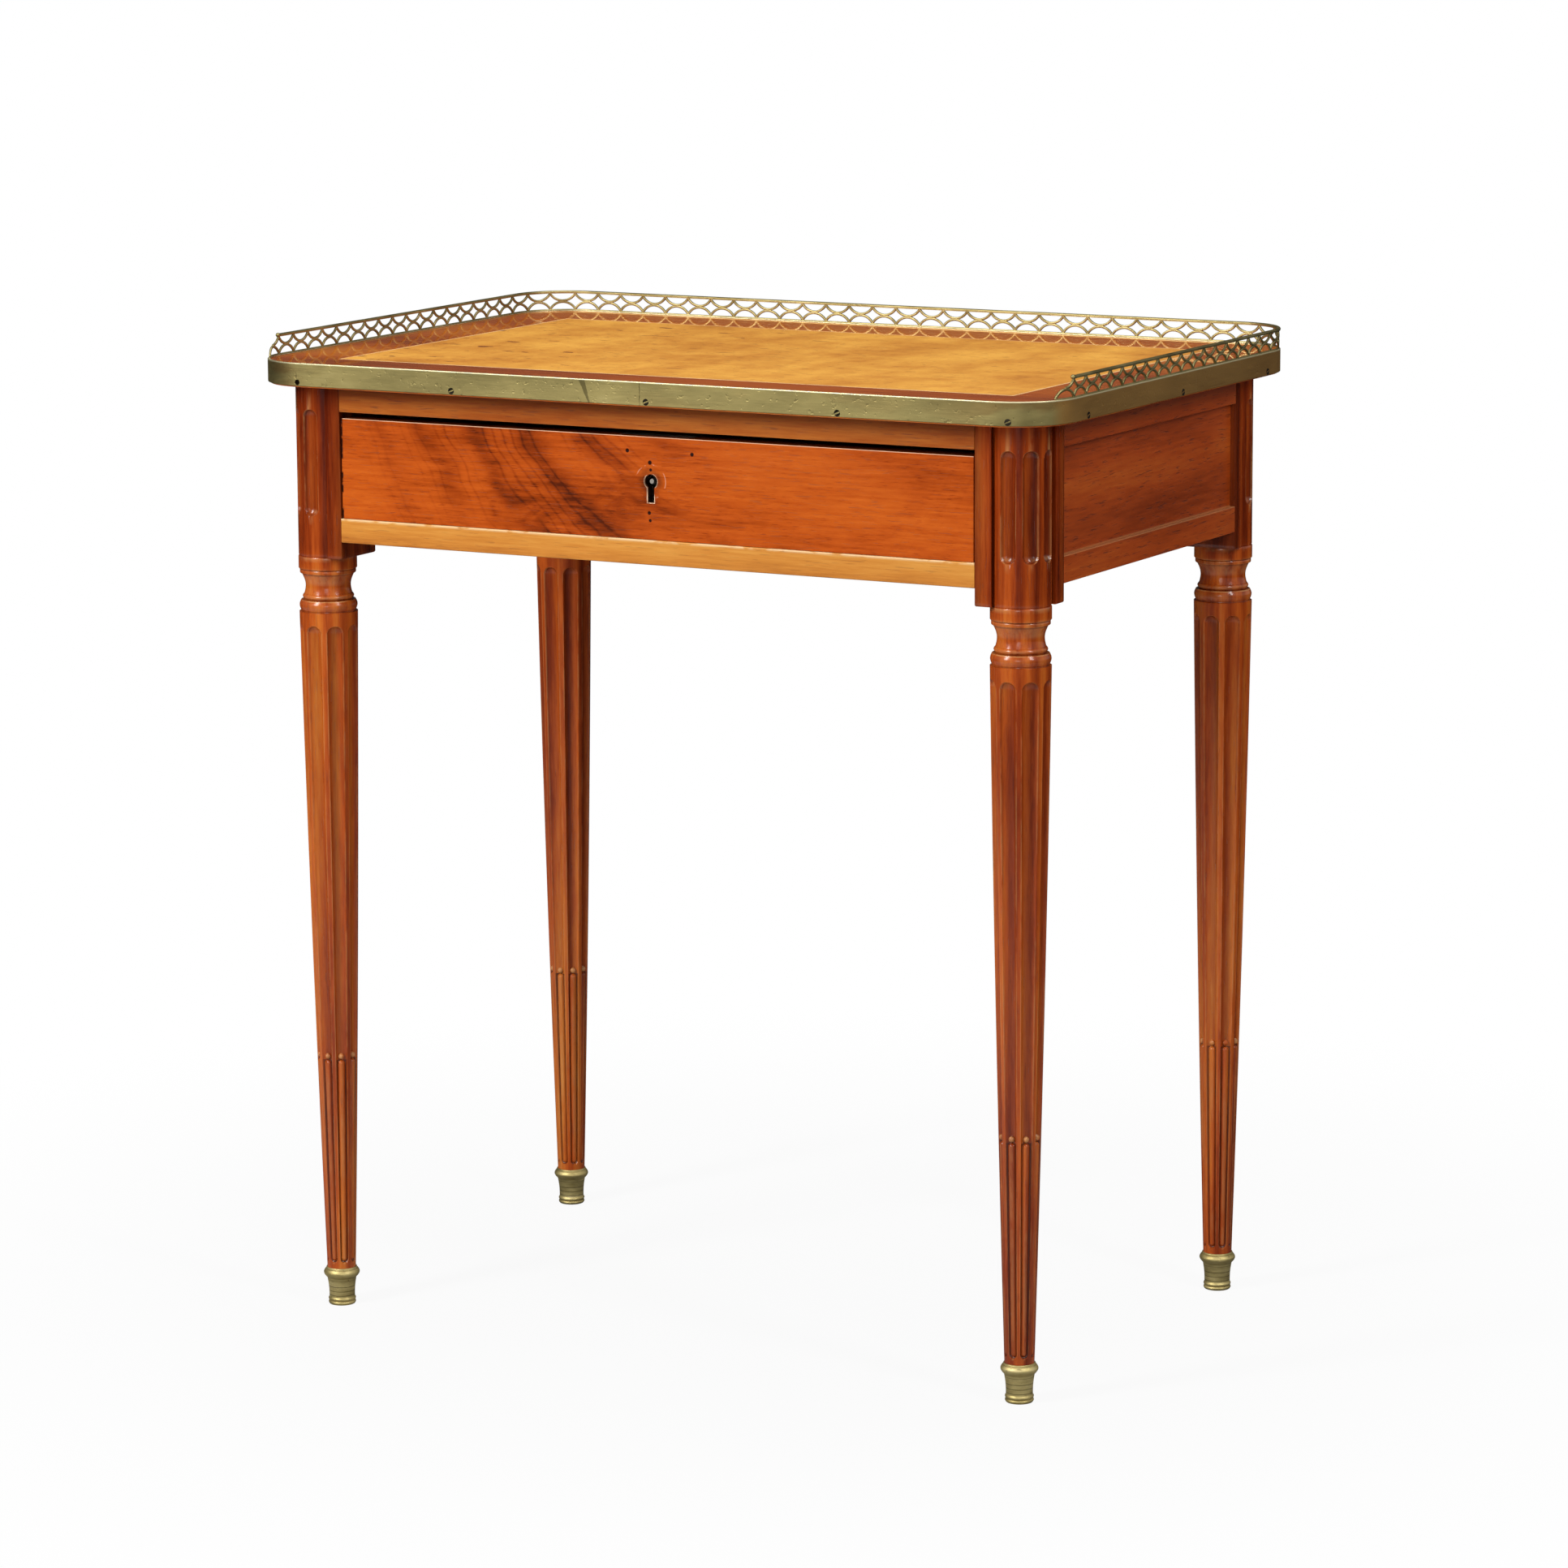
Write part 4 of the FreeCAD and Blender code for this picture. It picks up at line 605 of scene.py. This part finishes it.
def leg_shaft():
    """Radius as a function of angle and height: a tapered shaft, less eight flutes, with a
    reed in the lower part of each and a pearl over the reed. Rings and neck above are plain.
    Also says at each point how much painted shade and grime darken it and how much wear, painted
    highlight and, on the neck, painted reflection pale it, for the wood's colour."""
    half = np.pi / FLUTES
    edge = FLUTE_HALF * 1.02
    step = np.concatenate([np.linspace(-edge, edge, 25),
                           np.linspace(edge, 2 * half - edge, 5)[1:-1]])
    angle = (np.arange(FLUTES)[:, None] * 2 * half + step[None]).ravel()
    local = (np.tile(step, FLUTES) + half) % (2 * half) - half
    # Rows lie closest where flutes end and over the reeds' ends and pearls
    z = np.concatenate([
        steps(SHAFT_BOTTOM, FLUTE_BOTTOM, 3), steps(FLUTE_BOTTOM, 42 * MM, 12),
        steps(42 * MM, 190 * MM, 20), steps(190 * MM, 204 * MM, 36),
        steps(204 * MM, 529 * MM, 34), steps(529 * MM, 540 * MM, 28),
        steps(540 * MM, 546.7 * MM, 4), [546.9 * MM, 547.1 * MM, SHAFT_TOP]])
    rise = (z - SHAFT_BOTTOM) / (SHAFT_TOP - SHAFT_BOTTOM)
    shaft = (SHAFT_FOOT + (SHAFT_HEAD - SHAFT_FOOT) * rise + 4 * BELLY * rise * (1 - rise))[:, None]
    height, turn = z[:, None], local[None]
    past = past_ends(height, FLUTE_BOTTOM, FLUTE_TOP, shaft * math.sin(FLUTE_HALF))
    hollowed = shaft - fluted(turn / FLUTE_HALF, past, FLUTE_DEPTH * shaft)
    short = past_ends(height, FLUTE_BOTTOM + REED_FOOT, REED_TOP, REED_RADIUS * shaft)
    reed = bulge_wall(REED_CENTRE * shaft, turn, REED_RADIUS * shaft
                      * np.sqrt(np.maximum(1 - short ** 2, 0)))
    pearl = bulge_wall(PEARL_CENTRE * shaft, turn, np.sqrt(np.maximum(
        PEARL_RADIUS ** 2 - (height - PEARL_HEIGHT) ** 2, 0)))
    radius = np.maximum(hollowed, np.maximum(reed, pearl))

    depth = (shaft - radius) / (FLUTE_DEPTH * shaft)
    outline = (turn / FLUTE_HALF) ** 2 + past ** 2
    # Pale marks, partly wear and partly painted highlight: a line on each flute's outline, the
    # pearls as bright painted highlights and a touch on the reeds' crowns.
    wear_and_highlight = peak(outline, 1, 0.12) * 0.8
    wear_and_highlight = np.maximum(wear_and_highlight, (pearl >= radius) * (pearl > hollowed) * 2.0)
    wear_and_highlight = np.maximum(wear_and_highlight, (reed >= radius) * (depth < 0.2) * 0.3)
    # Painted shade, with grime: darker deeper in each flute, darkest in the grooves beside the
    # reeds, and a ring inside the outlines of the upper flutes.
    beside_reed = (height < REED_TOP) * (radius < hollowed + 0.01 * MM)
    grime_and_shade = np.clip(depth * (0.4 + 2.1 * beside_reed), 0, 1.3)
    grime_and_shade = np.maximum(grime_and_shade, peak(outline, 0.82, 0.12) * (height > OPEN_FLUTE) * 0.75)

    ring = turned_profile()
    bulge = np.gradient(np.gradient(ring[:, 0]))
    # A painted reflection: a pale band round the neck, where it faces down to the bright floor.
    neck_reflection = np.minimum(peak(ring[:, 1], NECK_HEIGHT, 6 * MM), 0.5) * 0.8
    # On the rings, convex edges pale with wear and painted highlights, concave parts dark with
    # painted shade and grime.
    ring_wear_and_highlight = np.clip(-bulge / (0.14 * MM), neck_reflection, 1.2)
    ring_grime_and_shade = np.clip(bulge / (0.25 * MM), 0, 1) * 0.9
    count = len(angle)
    radius = np.concatenate([radius, along_all(ring[:, 0], count)])
    grime_and_shade = np.concatenate([grime_and_shade, along_all(ring_grime_and_shade, count)])
    wear_and_highlight = np.concatenate([wear_and_highlight, along_all(ring_wear_and_highlight, count)])
    z = np.concatenate([z, ring[:, 1]])
    points = np.stack([radius * np.cos(angle), radius * np.sin(angle), along_all(z, count)], -1)
    return points, grime_and_shade, wear_and_highlight


def rounded_section(corners, radius):
    """A closed outline whose corners are small arcs."""
    outline = []
    corners = np.asarray(corners, float)
    t = np.linspace(0, 1, 4)[:, None]
    for index, corner in enumerate(corners):
        before = corners[index - 1] - corner
        after = corners[(index + 1) % len(corners)] - corner
        before /= np.linalg.norm(before)
        after /= np.linalg.norm(after)
        start, end = corner + before * radius, corner + after * radius
        outline.append((1 - t) ** 2 * start + 2 * t * (1 - t) * corner + t ** 2 * end)
    return np.concatenate(outline)


POST_OUT, POST_IN, POST_BAND, COLUMN = 21.5 * MM, -26.5 * MM, -14 * MM, 22 * MM
POST_FLUTE_HALF, POST_FLUTE_DEPTH = math.radians(15.6), 4.2 * MM
POST_FLUTE_LOW, POST_FLUTE_HIGH = 622.3 * MM, 703.6 * MM


def leg_post():
    """The square post, its corner column an arc about the axis with three short flutes: the
    section is carried up the post and each point of the arc pulled in by its flute."""
    step = math.sqrt(COLUMN ** 2 - POST_BAND ** 2)
    start = math.atan2(POST_BAND, step)
    column = np.linspace(start, np.pi / 2 - start, 130)
    flat = rounded_section([(POST_BAND, POST_OUT), (POST_IN, POST_OUT), (POST_IN, POST_IN),
                            (POST_OUT, POST_IN), (POST_OUT, POST_BAND)], 0.7 * MM)
    angle = np.concatenate([column, np.full(len(flat), np.pi / 4)])
    on_column = np.arange(len(angle)) < len(column)
    x = np.concatenate([COLUMN * np.cos(column), flat[:, 0]])
    y = np.concatenate([COLUMN * np.sin(column), flat[:, 1]])
    round_end = 8 * MM
    low, high = POST_FLUTE_LOW + round_end, POST_FLUTE_HIGH - round_end
    z = np.concatenate([[POST_BOTTOM, POST_BOTTOM + 0.3 * MM, POST_BOTTOM + 0.9 * MM],
                        steps(POST_BOTTOM + 3 * MM, POST_FLUTE_LOW, 4),
                        steps(POST_FLUTE_LOW, low, 24), steps(low, high, 10),
                        np.linspace(high, POST_FLUTE_HIGH, 24), [post_top]])
    height = z[:, None]
    away = np.abs(angle[None] - np.array([0, np.pi / 4, np.pi / 2])[:, None]).min(0)[None]
    past = past_ends(height, POST_FLUTE_LOW, POST_FLUTE_HIGH, COLUMN * math.sin(POST_FLUTE_HALF))
    radius = COLUMN - fluted(away / POST_FLUTE_HALF, past, POST_FLUTE_DEPTH)
    share = np.where(on_column[None], radius / COLUMN, 1.0)
    # The two lowest rows draw in, as the post's rounded lower edge
    share[0] *= 0.975
    share[1] *= 0.985
    points = np.stack([x * share, y * share, along_all(z, len(x))], -1)

    outline = (away / POST_FLUTE_HALF) ** 2 + past ** 2
    # Painted shade, with grime: the flutes darker with depth and round their outlines, the steps
    # beside the column dark and the post's inner faces dark.
    grime_and_shade = np.maximum((COLUMN - radius) / POST_FLUTE_DEPTH * 0.5, peak(outline, 0.8, 0.2))
    grime_and_shade = grime_and_shade * on_column[None]
    grime_and_shade[:, [0, len(column) - 1]] = 1.0
    grime_and_shade[:, np.minimum(x, y) < POST_IN + 1 * MM] = 0.9
    # A painted highlight: a pale crescent at each flute's lower end, as if its upturned end caught
    # the light.
    foot = peak(height, POST_FLUTE_LOW + 3 * MM, 2 * MM) * (outline < 0.8)
    wear_and_highlight = np.maximum(peak(outline, 1, 0.16), foot) * on_column[None] * 0.8
    return points, grime_and_shade, wear_and_highlight


def legs(finish):
    """One leg made about the upright axis, then turned and set down at each corner."""
    for node, turn in (("leg_back_right", 0), ("leg_back_left", 1), ("leg_front_left", 2),
                       ("leg_front_right", 3)):
        axis = LEG_AXES[node.replace("leg", "foot")]
        spin = Matrix.Translation(axis) @ Matrix.Rotation(turn * math.pi / 2, 4, "Z")
        parts = []
        for make in (leg_shaft, leg_post):
            points, grime_and_shade, wear_and_highlight = make()
            part = tube(node + "_" + make.__name__, points, finish)
            add_attribute(part, "grime_and_shade", grime_and_shade)
            add_attribute(part, "wear_and_highlight", wear_and_highlight)
            sealed(part, 38).data.transform(spin)
            parts.append(part)
        settle(joined(parts), node)


def sabots(finish):
    """Turned brass shoes: a radius for each height, swept once round the leg's axis."""
    profile = np.concatenate([
        arc(0.01, 0, 9.6, 0, 0, 4), arc(9.9, 0.1, 10.2, 0.5, 0, 3),
        arc(10.25, 0.6, 10.2, 2.7, 0.45, 8), arc(9.9, 2.85, 9.9, 3.1, 0, 2),
        arc(10.25, 3.3, 10.2, 5.6, 0.45, 8), arc(9.95, 5.9, 11.4, 21.6, -0.45, 16),
        arc(12.0, 22.0, 12.4, 22.4, 0, 3), arc(12.5, 22.5, 12.5, 28.4, 1.5, 14),
        arc(12.1, 28.5, 11.9, 29.6, 0, 4), arc(11.7, 29.9, 11.2, 30, 0, 3),
        arc(10.9, 30, 9.6, 30, 0, 3)]) * MM
    angle = steps(0, 2 * np.pi, 72)
    shoes = []
    for axis in LEG_AXES.values():
        points = np.stack([axis[0] + profile[:, :1] * np.cos(angle),
                           axis[1] + profile[:, :1] * np.sin(angle),
                           along_all(profile[:, 1], len(angle))], -1)
        shoes.append(tube("sabots_turned", points, finish))
    settle(sealed(joined(shoes), 50), "sabots")


def slotted_screws(name, body, finish, places, radius, dish):
    """Countersunk heads: a disc with a straight slot, laid into the face that each enters.
    places has a point and an outward direction for each, and dish is its depth in radii."""
    rings = np.array([1.0, 0.97, 0.8, 0.5, 0.2, 0.02])
    angle = steps(0, 2 * np.pi, 48)
    r, a = np.meshgrid(rings, angle, indexing="ij")
    u, v = r * np.cos(a), r * np.sin(a)
    groove = np.clip((0.19 - np.abs(u * 0.35 + v * 0.94)) / 0.05, 0, 1) * (r < 0.96)
    height = np.where(r > 0.99, -0.3, 0.3) - groove * 0.7
    pieces = []
    for point, outward in places:
        upward = Vector((0, 0, 1))
        sideways, upright, out = (np.array(w) for w in (outward.cross(upward), upward, outward))
        points = (np.array(point) + radius * (u[..., None] * sideways + v[..., None] * upright
                                              + height[..., None] * dish * out))
        pieces.append(tube(name, points, finish))
    screws = sealed(joined(pieces), 30)
    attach(screws, body)


# Pierced gallery

GALLERY_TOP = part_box("gallery_back")[1].z - band_high.z
RAIL_HEIGHT = 2.3 * MM
STRIP_HEIGHT, STRIP_HALF, BAR_HALF = 0.9 * MM, 0.8 * MM, 1.0 * MM
# The gallery's line: inside the band's face, round its corners, and along it past their ends
INSET, BEND, END_RUN, CORNER_RUN = 1.6 * MM, 44.4 * MM, 20.9 * MM, 6.6 * MM
WALL = np.array([band_high.x, band_high.y]) - INSET
SIDE_LENGTH = END_RUN + 2 * (WALL[1] - BEND)
BACK_LENGTH = 2 * (WALL[0] - BEND)
QUARTER = BEND * np.pi / 2
SIDE_ARCS, BACK_ARCS, CORNER_ARCS = 18, 27, 4
KNOB_LONG, KNOB_WIDE = 1.9 * MM, 1.75 * MM
# Outlines of the top rail and of the strip on the band, outwards and upwards in mm
RAIL_SECTION = [(-1.3, 13.7), (1.3, 13.7), (1.45, 14.0), (1.35, 14.3), (1.6, 14.7), (1.55, 15.2),
                (1.2, 15.7), (0.6, 16.0), (-0.6, 16.0), (-1.2, 15.7), (-1.55, 15.2), (-1.6, 14.7),
                (-1.35, 14.3), (-1.45, 14.0)]
STRIP_SECTION = [(0.8, 0), (0.8, 0.7), (0.6, 0.9), (-0.6, 0.9), (-0.8, 0.7), (-0.8, 0)]


def wall_place(s, out):
    """The gallery's line seen from above: a bend at its front end, up the right side, round a
    quarter, along the back, and the same again mirrored. s is the length along it and out is
    outwards. The line is worked out for its right half, up to the middle of the back."""
    middle = SIDE_LENGTH + QUARTER + BACK_LENGTH / 2
    half = np.where(s > middle, 2 * middle - s, s)
    before = np.minimum(half - END_RUN, 0)
    round_back = np.clip(half - SIDE_LENGTH, 0, QUARTER)
    turn = (before + round_back) / BEND
    side = np.clip(half - END_RUN, 0, SIDE_LENGTH - END_RUN)
    back = np.maximum(half - SIDE_LENGTH - QUARTER, 0)
    x = WALL[0] - BEND + (BEND + out) * np.cos(turn) - back
    y = BEND - WALL[1] + side + (BEND + out) * np.sin(turn)
    return np.where(s > middle, -x, x), y


def bar(s, z):
    """A bar with a round-cornered section along a line in the gallery's own surface."""
    angle = steps(0, 2 * np.pi, 12)
    u = BAR_HALF * np.sign(np.cos(angle)) * np.abs(np.cos(angle)) ** 0.55
    w = STRIP_HALF * np.sign(np.sin(angle)) * np.abs(np.sin(angle)) ** 0.55
    ds, dz = np.gradient(s), np.gradient(z)
    size = np.hypot(ds, dz)
    x, y = wall_place(s[:, None] - u * (dz / size)[:, None], w + 0 * s[:, None])
    return np.stack([x, y, z[:, None] + u * (ds / size)[:, None] + band_high.z], -1)


def moulding(s, section):
    """A moulding's outline, given outwards and upwards, carried along the line."""
    out, up = np.array(section).T * MM
    x, y = wall_place(s[:, None] + 0 * out, out + 0 * s[:, None])
    return np.stack([x, y, up + 0 * s[:, None] + band_high.z], -1)


def knob(s, height):
    """A small ball on the line, its poles along it."""
    pole = np.linspace(0, np.pi, 12)
    round_it = steps(0, 2 * np.pi, 16)
    ring = KNOB_WIDE * np.sin(pole)[:, None] + 0.01 * MM
    x, y = wall_place((s - KNOB_LONG * np.cos(pole))[:, None] + 0 * round_it,
                      ring * np.sin(round_it))
    return np.stack([x, y, band_high.z + height - ring * np.cos(round_it)], -1)


def run_shapes(start, length, count, open_start, open_end):
    """Arcs that stand on the strip and arcs that hang from the rail, crown to crown, with the
    rail and the strip. An open end has half an arc and a ball at the rail's end."""
    eave = GALLERY_TOP - RAIL_HEIGHT
    middle = (STRIP_HEIGHT + eave) / 2
    crown = middle - BAR_HALF / 2
    rise = crown - STRIP_HEIGHT
    pitch = length / count
    radius = (rise ** 2 + (pitch / 2) ** 2) / (2 * rise)
    level = crown - radius
    foot = math.asin((STRIP_HEIGHT * 0.5 - level) / radius)
    shapes = []
    for cell in range(count):
        centre = start + (cell + 0.5) * pitch
        sweep = np.linspace(foot, np.pi - foot, 17)
        shapes.append(bar(centre - radius * np.cos(sweep), level + radius * np.sin(sweep)))
        if open_start and cell == 0:
            sweep = np.linspace(np.pi / 2, np.pi - foot, 10)
        if open_end and cell == count - 1:
            sweep = np.linspace(foot, np.pi / 2, 10)
        shapes.append(bar(centre - radius * np.cos(sweep),
                          2 * middle - level - radius * np.sin(sweep)))
    short = pitch / 2 + radius * math.cos(foot) - BAR_HALF
    low = start + (short if open_start else 0)
    high = start + length - (short if open_end else 0)
    samples = max(2, int(length / (3 * MM)))
    shapes.append(moulding(np.linspace(low, high, samples), RAIL_SECTION))
    shapes.append(moulding(np.linspace(start, start + length, samples), STRIP_SECTION))
    for end in [low] * open_start + [high] * open_end:
        shapes.append(knob(end, (eave + GALLERY_TOP) / 2))
    return shapes


def gallery(finish):
    """Four pieces. Each run has its start and length along the line, its count of arcs, and
    whether its start and its end are open."""
    side = SIDE_LENGTH - CORNER_RUN
    corner = QUARTER + 2 * CORNER_RUN
    back = BACK_LENGTH - 2 * CORNER_RUN
    whole = 2 * side + 2 * corner + back
    pieces = {
        "gallery_right": [(0, side, SIDE_ARCS, True, False)],
        "gallery_left": [(whole - side, side, SIDE_ARCS, False, True)],
        "gallery_back": [(side + corner, back, BACK_ARCS, False, False)],
        "gallery_corners": [(side, corner, CORNER_ARCS, False, False),
                            (side + corner + back, corner, CORNER_ARCS, False, False)],
    }
    for node, runs in pieces.items():
        shapes = [shape for run in runs for shape in run_shapes(*run)]
        tubes = [tube(node + "_pierced", shape, finish) for shape in shapes]
        settle(sealed(joined(tubes), 50), node)


SCREW_RADIUS, LOCK_SCREW_RADIUS, LOCK_SCREW_INSET = 2.5 * MM, 2.4 * MM, 4.5 * MM
# Places of the band's screws, in mm: along the front, along the back and along each side
FRONT_SCREWS = -153.8, 12.4, 169.9
BACK_SCREWS = -160, 0, 160
SIDE_SCREWS = -154.4, 7.3, 161.2
# Outward direction of the one screw in the band's front right corner
CORNER_SCREW = Vector((0.3, -0.954, 0))


def lock_screws(finish):
    """Four screws that hold the lock's case to the inside of the drawer's front."""
    inner = Vector((0, 1, 0))
    places = [(Vector((x, case_high.y, z)), inner)
              for x in (case_low.x + LOCK_SCREW_INSET, case_high.x - LOCK_SCREW_INSET)
              for z in (case_low.z + LOCK_SCREW_INSET, case_high.z - LOCK_SCREW_INSET)]
    slotted_screws("lock_screws", "drawer", finish, places, LOCK_SCREW_RADIUS, 0.25)


def band_screws(finish):
    """Screws along the band's lower edge, none at the place that has lost one."""
    level = band_low.z + SCREW_RISE
    front = [(Vector((x * MM, band_low.y, level)), Vector((0, -1, 0))) for x in FRONT_SCREWS]
    back = [(Vector((x * MM, band_high.y, level)), Vector((0, 1, 0))) for x in BACK_SCREWS]
    sides = [(Vector((side * band_high.x, y * MM, level)), Vector((side, 0, 0)))
             for side in (-1, 1) for y in SIDE_SCREWS]
    turned = CORNER_SCREW.normalized()
    bend = BEND + INSET
    corner = Vector((band_high.x - bend, band_low.y + bend, level)) + bend * turned
    slotted_screws("band_screws", "case", finish,
                   front + back + sides + [(corner, turned)], SCREW_RADIUS, 0.2)


# Whole table

# Roundings of the edges
EDGE, FINE_EDGE, IRON_EDGE, LEATHER_EDGE = 0.6 * MM, 0.5 * MM, 0.2 * MM, 0.3 * MM
RAIL_EDGE, FRONT_EDGE, BOARD_EDGE = 0.7 * MM, 0.9 * MM, 0.4 * MM


def top_rail_wood():
    """Golden walnut, with a painted shadow of the band over its upper part."""
    wood = Wood("top_rail_walnut", 0, GOLD_TONES, figure=0.25, ring=70.0)
    # Painted shadow of the band's overhang, darkening the rail towards its top.
    shade = wood.z.rise(over_low.z + 4 * MM, over_high.z) * 0.5
    return wood.polished(dark=shade, gloss=0.3)


def bottom_rail_wood():
    """Pale ash, its upper edge worn."""
    wood = Wood("bottom_rail_ash", 0, RAIL_TONES, figure=0.2, ring=120.0, pores=0.4)
    lift = wood.noise(wood.stretched(70, 70, 200), detail=3.0)
    edge = wood.z.rise(rail_top - 2.5 * MM, rail_top - 0.5 * MM) * lift.rise(0.35, 0.5)
    return wood.polished(pale=edge * 0.8, gloss=0.34, pale_tone=paint("#e0bd8c"))


def side_wood():
    """Red mahogany, pale on the ledge under the panel and with a painted shadow of the band over
    its upper rail.
    """
    wood = Wood("side_mahogany", 1, CASE_TONES, figure=0.25, ring=80.0, pores=0.9)
    ledge = wood.z.near(panel_bottom + 4 * MM, 1.2 * MM) * 0.5
    # Painted shadow of the band's overhang on the upper rail.
    under = wood.z.rise(panel_bottom + 82 * MM, panel_bottom + 98 * MM) * 0.4
    return wood.polished(pale=ledge, dark=under, gloss=0.3)


def build():
    """Every piece in its finish. Each CAD node has one piece that shows in its place."""
    case_x = Wood("back_mahogany", 0, CASE_TONES, figure=0.3, ring=60.0).polished(gloss=0.4)
    border = Wood("top_mahogany", 0, TOP_TONES, figure=0.3, ring=40.0, pores=0.5,
                  Coat_Weight=0.9, Coat_Roughness=0.02).polished(gloss=0.25)
    plain = Wood("plain_oak", 1, PLAIN_TONES, figure=0.4, ring=120.0).polished(gloss=0.5)
    plain_x = Wood("plain_oak_across", 0, PLAIN_TONES, figure=0.4, ring=90.0).polished(gloss=0.5)
    iron = old_iron("lock_iron", "#4c4843", "#75706a", "#9a948b", "#c2bcb0")
    dull = old_iron("screw_iron", "#0e0c09", "#1c1914", "#2f2a22", "#4a4438")
    side_case = side_wood()

    legs(leg_wood())
    sabots(sabot_brass())
    dressed("drawer_front", front_wood(), FRONT_EDGE, 3)
    dressed("front_top_rail", top_rail_wood(), RAIL_EDGE)
    dressed("front_bottom_rail", bottom_rail_wood(), FRONT_EDGE, 3)
    for side in ("left", "right"):
        for node in ("%s_top_rail", "%s_bottom_rail", "%s_panel"):
            dressed(node % side, side_case, EDGE)
        for node in ("runner_%s", "guide_%s", "kicker_%s", "drawer_side_%s"):
            dressed(node % side, plain, FINE_EDGE)
        for node in ("drawer_stop_%s", "glue_block_front_%s", "glue_block_back_%s"):
            dressed(node % side, plain_x, FINE_EDGE)
    gallery(gallery_brass())
    band_screws(dull)
    lock_screws(dull)
    for node in ("back_top_rail", "back_bottom_rail", "back_panel"):
        dressed(node, case_x, EDGE)
    for node in ("drawer_back", "drawer_bottom"):
        dressed(node, plain_x, FINE_EDGE)
    dressed("top_board", border, BOARD_EDGE)
    dressed("writing_leather", ochre_leather(), LEATHER_EDGE)
    dressed("top_band", band_brass(), FINE_EDGE, 3)
    for node in ("lock_case", "lock_pin", "lock_bolt"):
        dressed(node, iron, IRON_EDGE)


build()


# Studio

# Camera fitted to the photo: turn to the left, tilt down, roll, long lens and place
YAW, PITCH, ROLL = math.radians(-28.479), math.radians(10.329), math.radians(-0.314)
FOCAL_PIXELS, PHOTO_PIXELS, SENSOR = 7104.98, 1932, 36.0
EYE = Vector((2.091671, -3.846458, 1.205386))


def camera():
    """Looks along the fitted direction: turned about the upright, tipped down, then rolled."""
    ahead = Vector((math.sin(YAW) * math.cos(PITCH), math.cos(YAW) * math.cos(PITCH),
                    -math.sin(PITCH)))
    right = Vector((math.cos(YAW), -math.sin(YAW), 0))
    up = right.cross(ahead)
    rolled_right = right * math.cos(ROLL) + up * math.sin(ROLL)
    rolled_up = -right * math.sin(ROLL) + up * math.cos(ROLL)
    data = bpy.data.cameras.new("camera")
    data.sensor_width = SENSOR
    data.lens = FOCAL_PIXELS / PHOTO_PIXELS * SENSOR
    data.clip_end = 100
    view = in_scene("camera", data)
    turn = Matrix((rolled_right, rolled_up, -ahead)).transposed()
    view.matrix_world = Matrix.Translation(EYE) @ turn.to_4x4()
    bpy.context.scene.camera = view


def lamp(name, place, aim, size, power):
    """A white soft lamp of a width and height in metres, its power in watts."""
    data = bpy.data.lights.new(name, "AREA")
    data.shape = "RECTANGLE"
    data.size, data.size_y = size
    data.energy = power
    item = in_scene(name, data)
    item.location = place
    item.rotation_euler = (Vector(aim) - Vector(place)).to_track_quat("-Z", "Y").to_euler()
    item.visible_camera = False


# Strength of the even light, and of what polish mirrors in front and behind
WORLD_LIGHT, BRIGHT_SIDE, DARK_SIDE = 0.14, 0.34, 0.04
FLOOR_REACH, FLOOR_GREY = 40.0, 0.5


def floor():
    """White to the camera, with a part of its real shade near the table, where its shadow is.
    Light bounces off it as off a grey one, and polish mirrors it dark behind the table."""
    r = FLOOR_REACH
    mesh = bpy.data.meshes.new("floor")
    mesh.from_pydata([(-r, -r, 0), (r, -r, 0), (r, r, 0), (-r, r, 0)], [], [(0, 1, 2, 3)])
    ground = in_scene("floor", mesh)
    cover = Finish("white_floor", Roughness=0.9, Specular_IOR_Level=0.0)
    cover.shader.inputs["Base Color"].default_value = (FLOOR_GREY, FLOOR_GREY, FLOOR_GREY, 1)
    seen = cover.add("ShaderNodeLightPath", output="Is Camera Ray")
    mirrored = cover.add("ShaderNodeLightPath", output="Is Glossy Ray")
    away = cover.x.away(cover.y)
    plain = Field(cover, cover.shader.outputs[0])
    white = cover.over(seen * (away.rise(0.3, 1.1) * 0.07 + 0.93), plain,
                       cover.glow("ShaderNodeEmission", 1.0))
    unseen = (cover.y.rise(-0.6, 0.6) * 0.9).most(away.rise(1.3, 2.8) * 0.75)
    cover.over(mirrored * unseen, white, cover.glow("ShaderNodeEmission", 0.0))
    mesh.materials.append(cover.material)


def surroundings():
    """White to the camera, a weak even light, and for polish bright in front and at the right
    but dark behind the table."""
    sky = Finish("surroundings", world=True)
    bpy.context.scene.world = sky.material
    shade = sky.y.rise(0.4, -0.4).most(sky.x.rise(0.15, 0.5) * 2)
    shade = shade * (BRIGHT_SIDE - DARK_SIDE) + DARK_SIDE
    seen = sky.add("ShaderNodeLightPath", output="Is Camera Ray")
    mirrored = sky.add("ShaderNodeLightPath", output="Is Glossy Ray")
    plain = sky.glow("ShaderNodeBackground", WORLD_LIGHT)
    dim = sky.over(mirrored, plain, sky.over(shade, sky.glow("ShaderNodeBackground", 0.0),
                                             sky.glow("ShaderNodeBackground", 1.0)))
    sky.over(seen, dim, sky.glow("ShaderNodeBackground", 1.0))


def studio():
    """A white room with four soft lamps, each with its place, aim, size and power."""
    floor()
    surroundings()
    lamp("right", (2.15, -0.8, 2.1), (0, 0, 0.45), (0.35, 1.4), 34)
    lamp("left", (-1.1, -2.2, 2.0), (0, 0, 0.45), (0.5, 1.5), 78)
    lamp("front", (1.2, -3.6, 1.2), (0, 0, 0.4), (0.9, 1.2), 16)
    lamp("top", (0, 0.3, 3.0), (0, 0, 0.6), (1.6, 1.2), 32)


camera()
studio()
bpy.context.scene.view_settings.view_transform = "Standard"
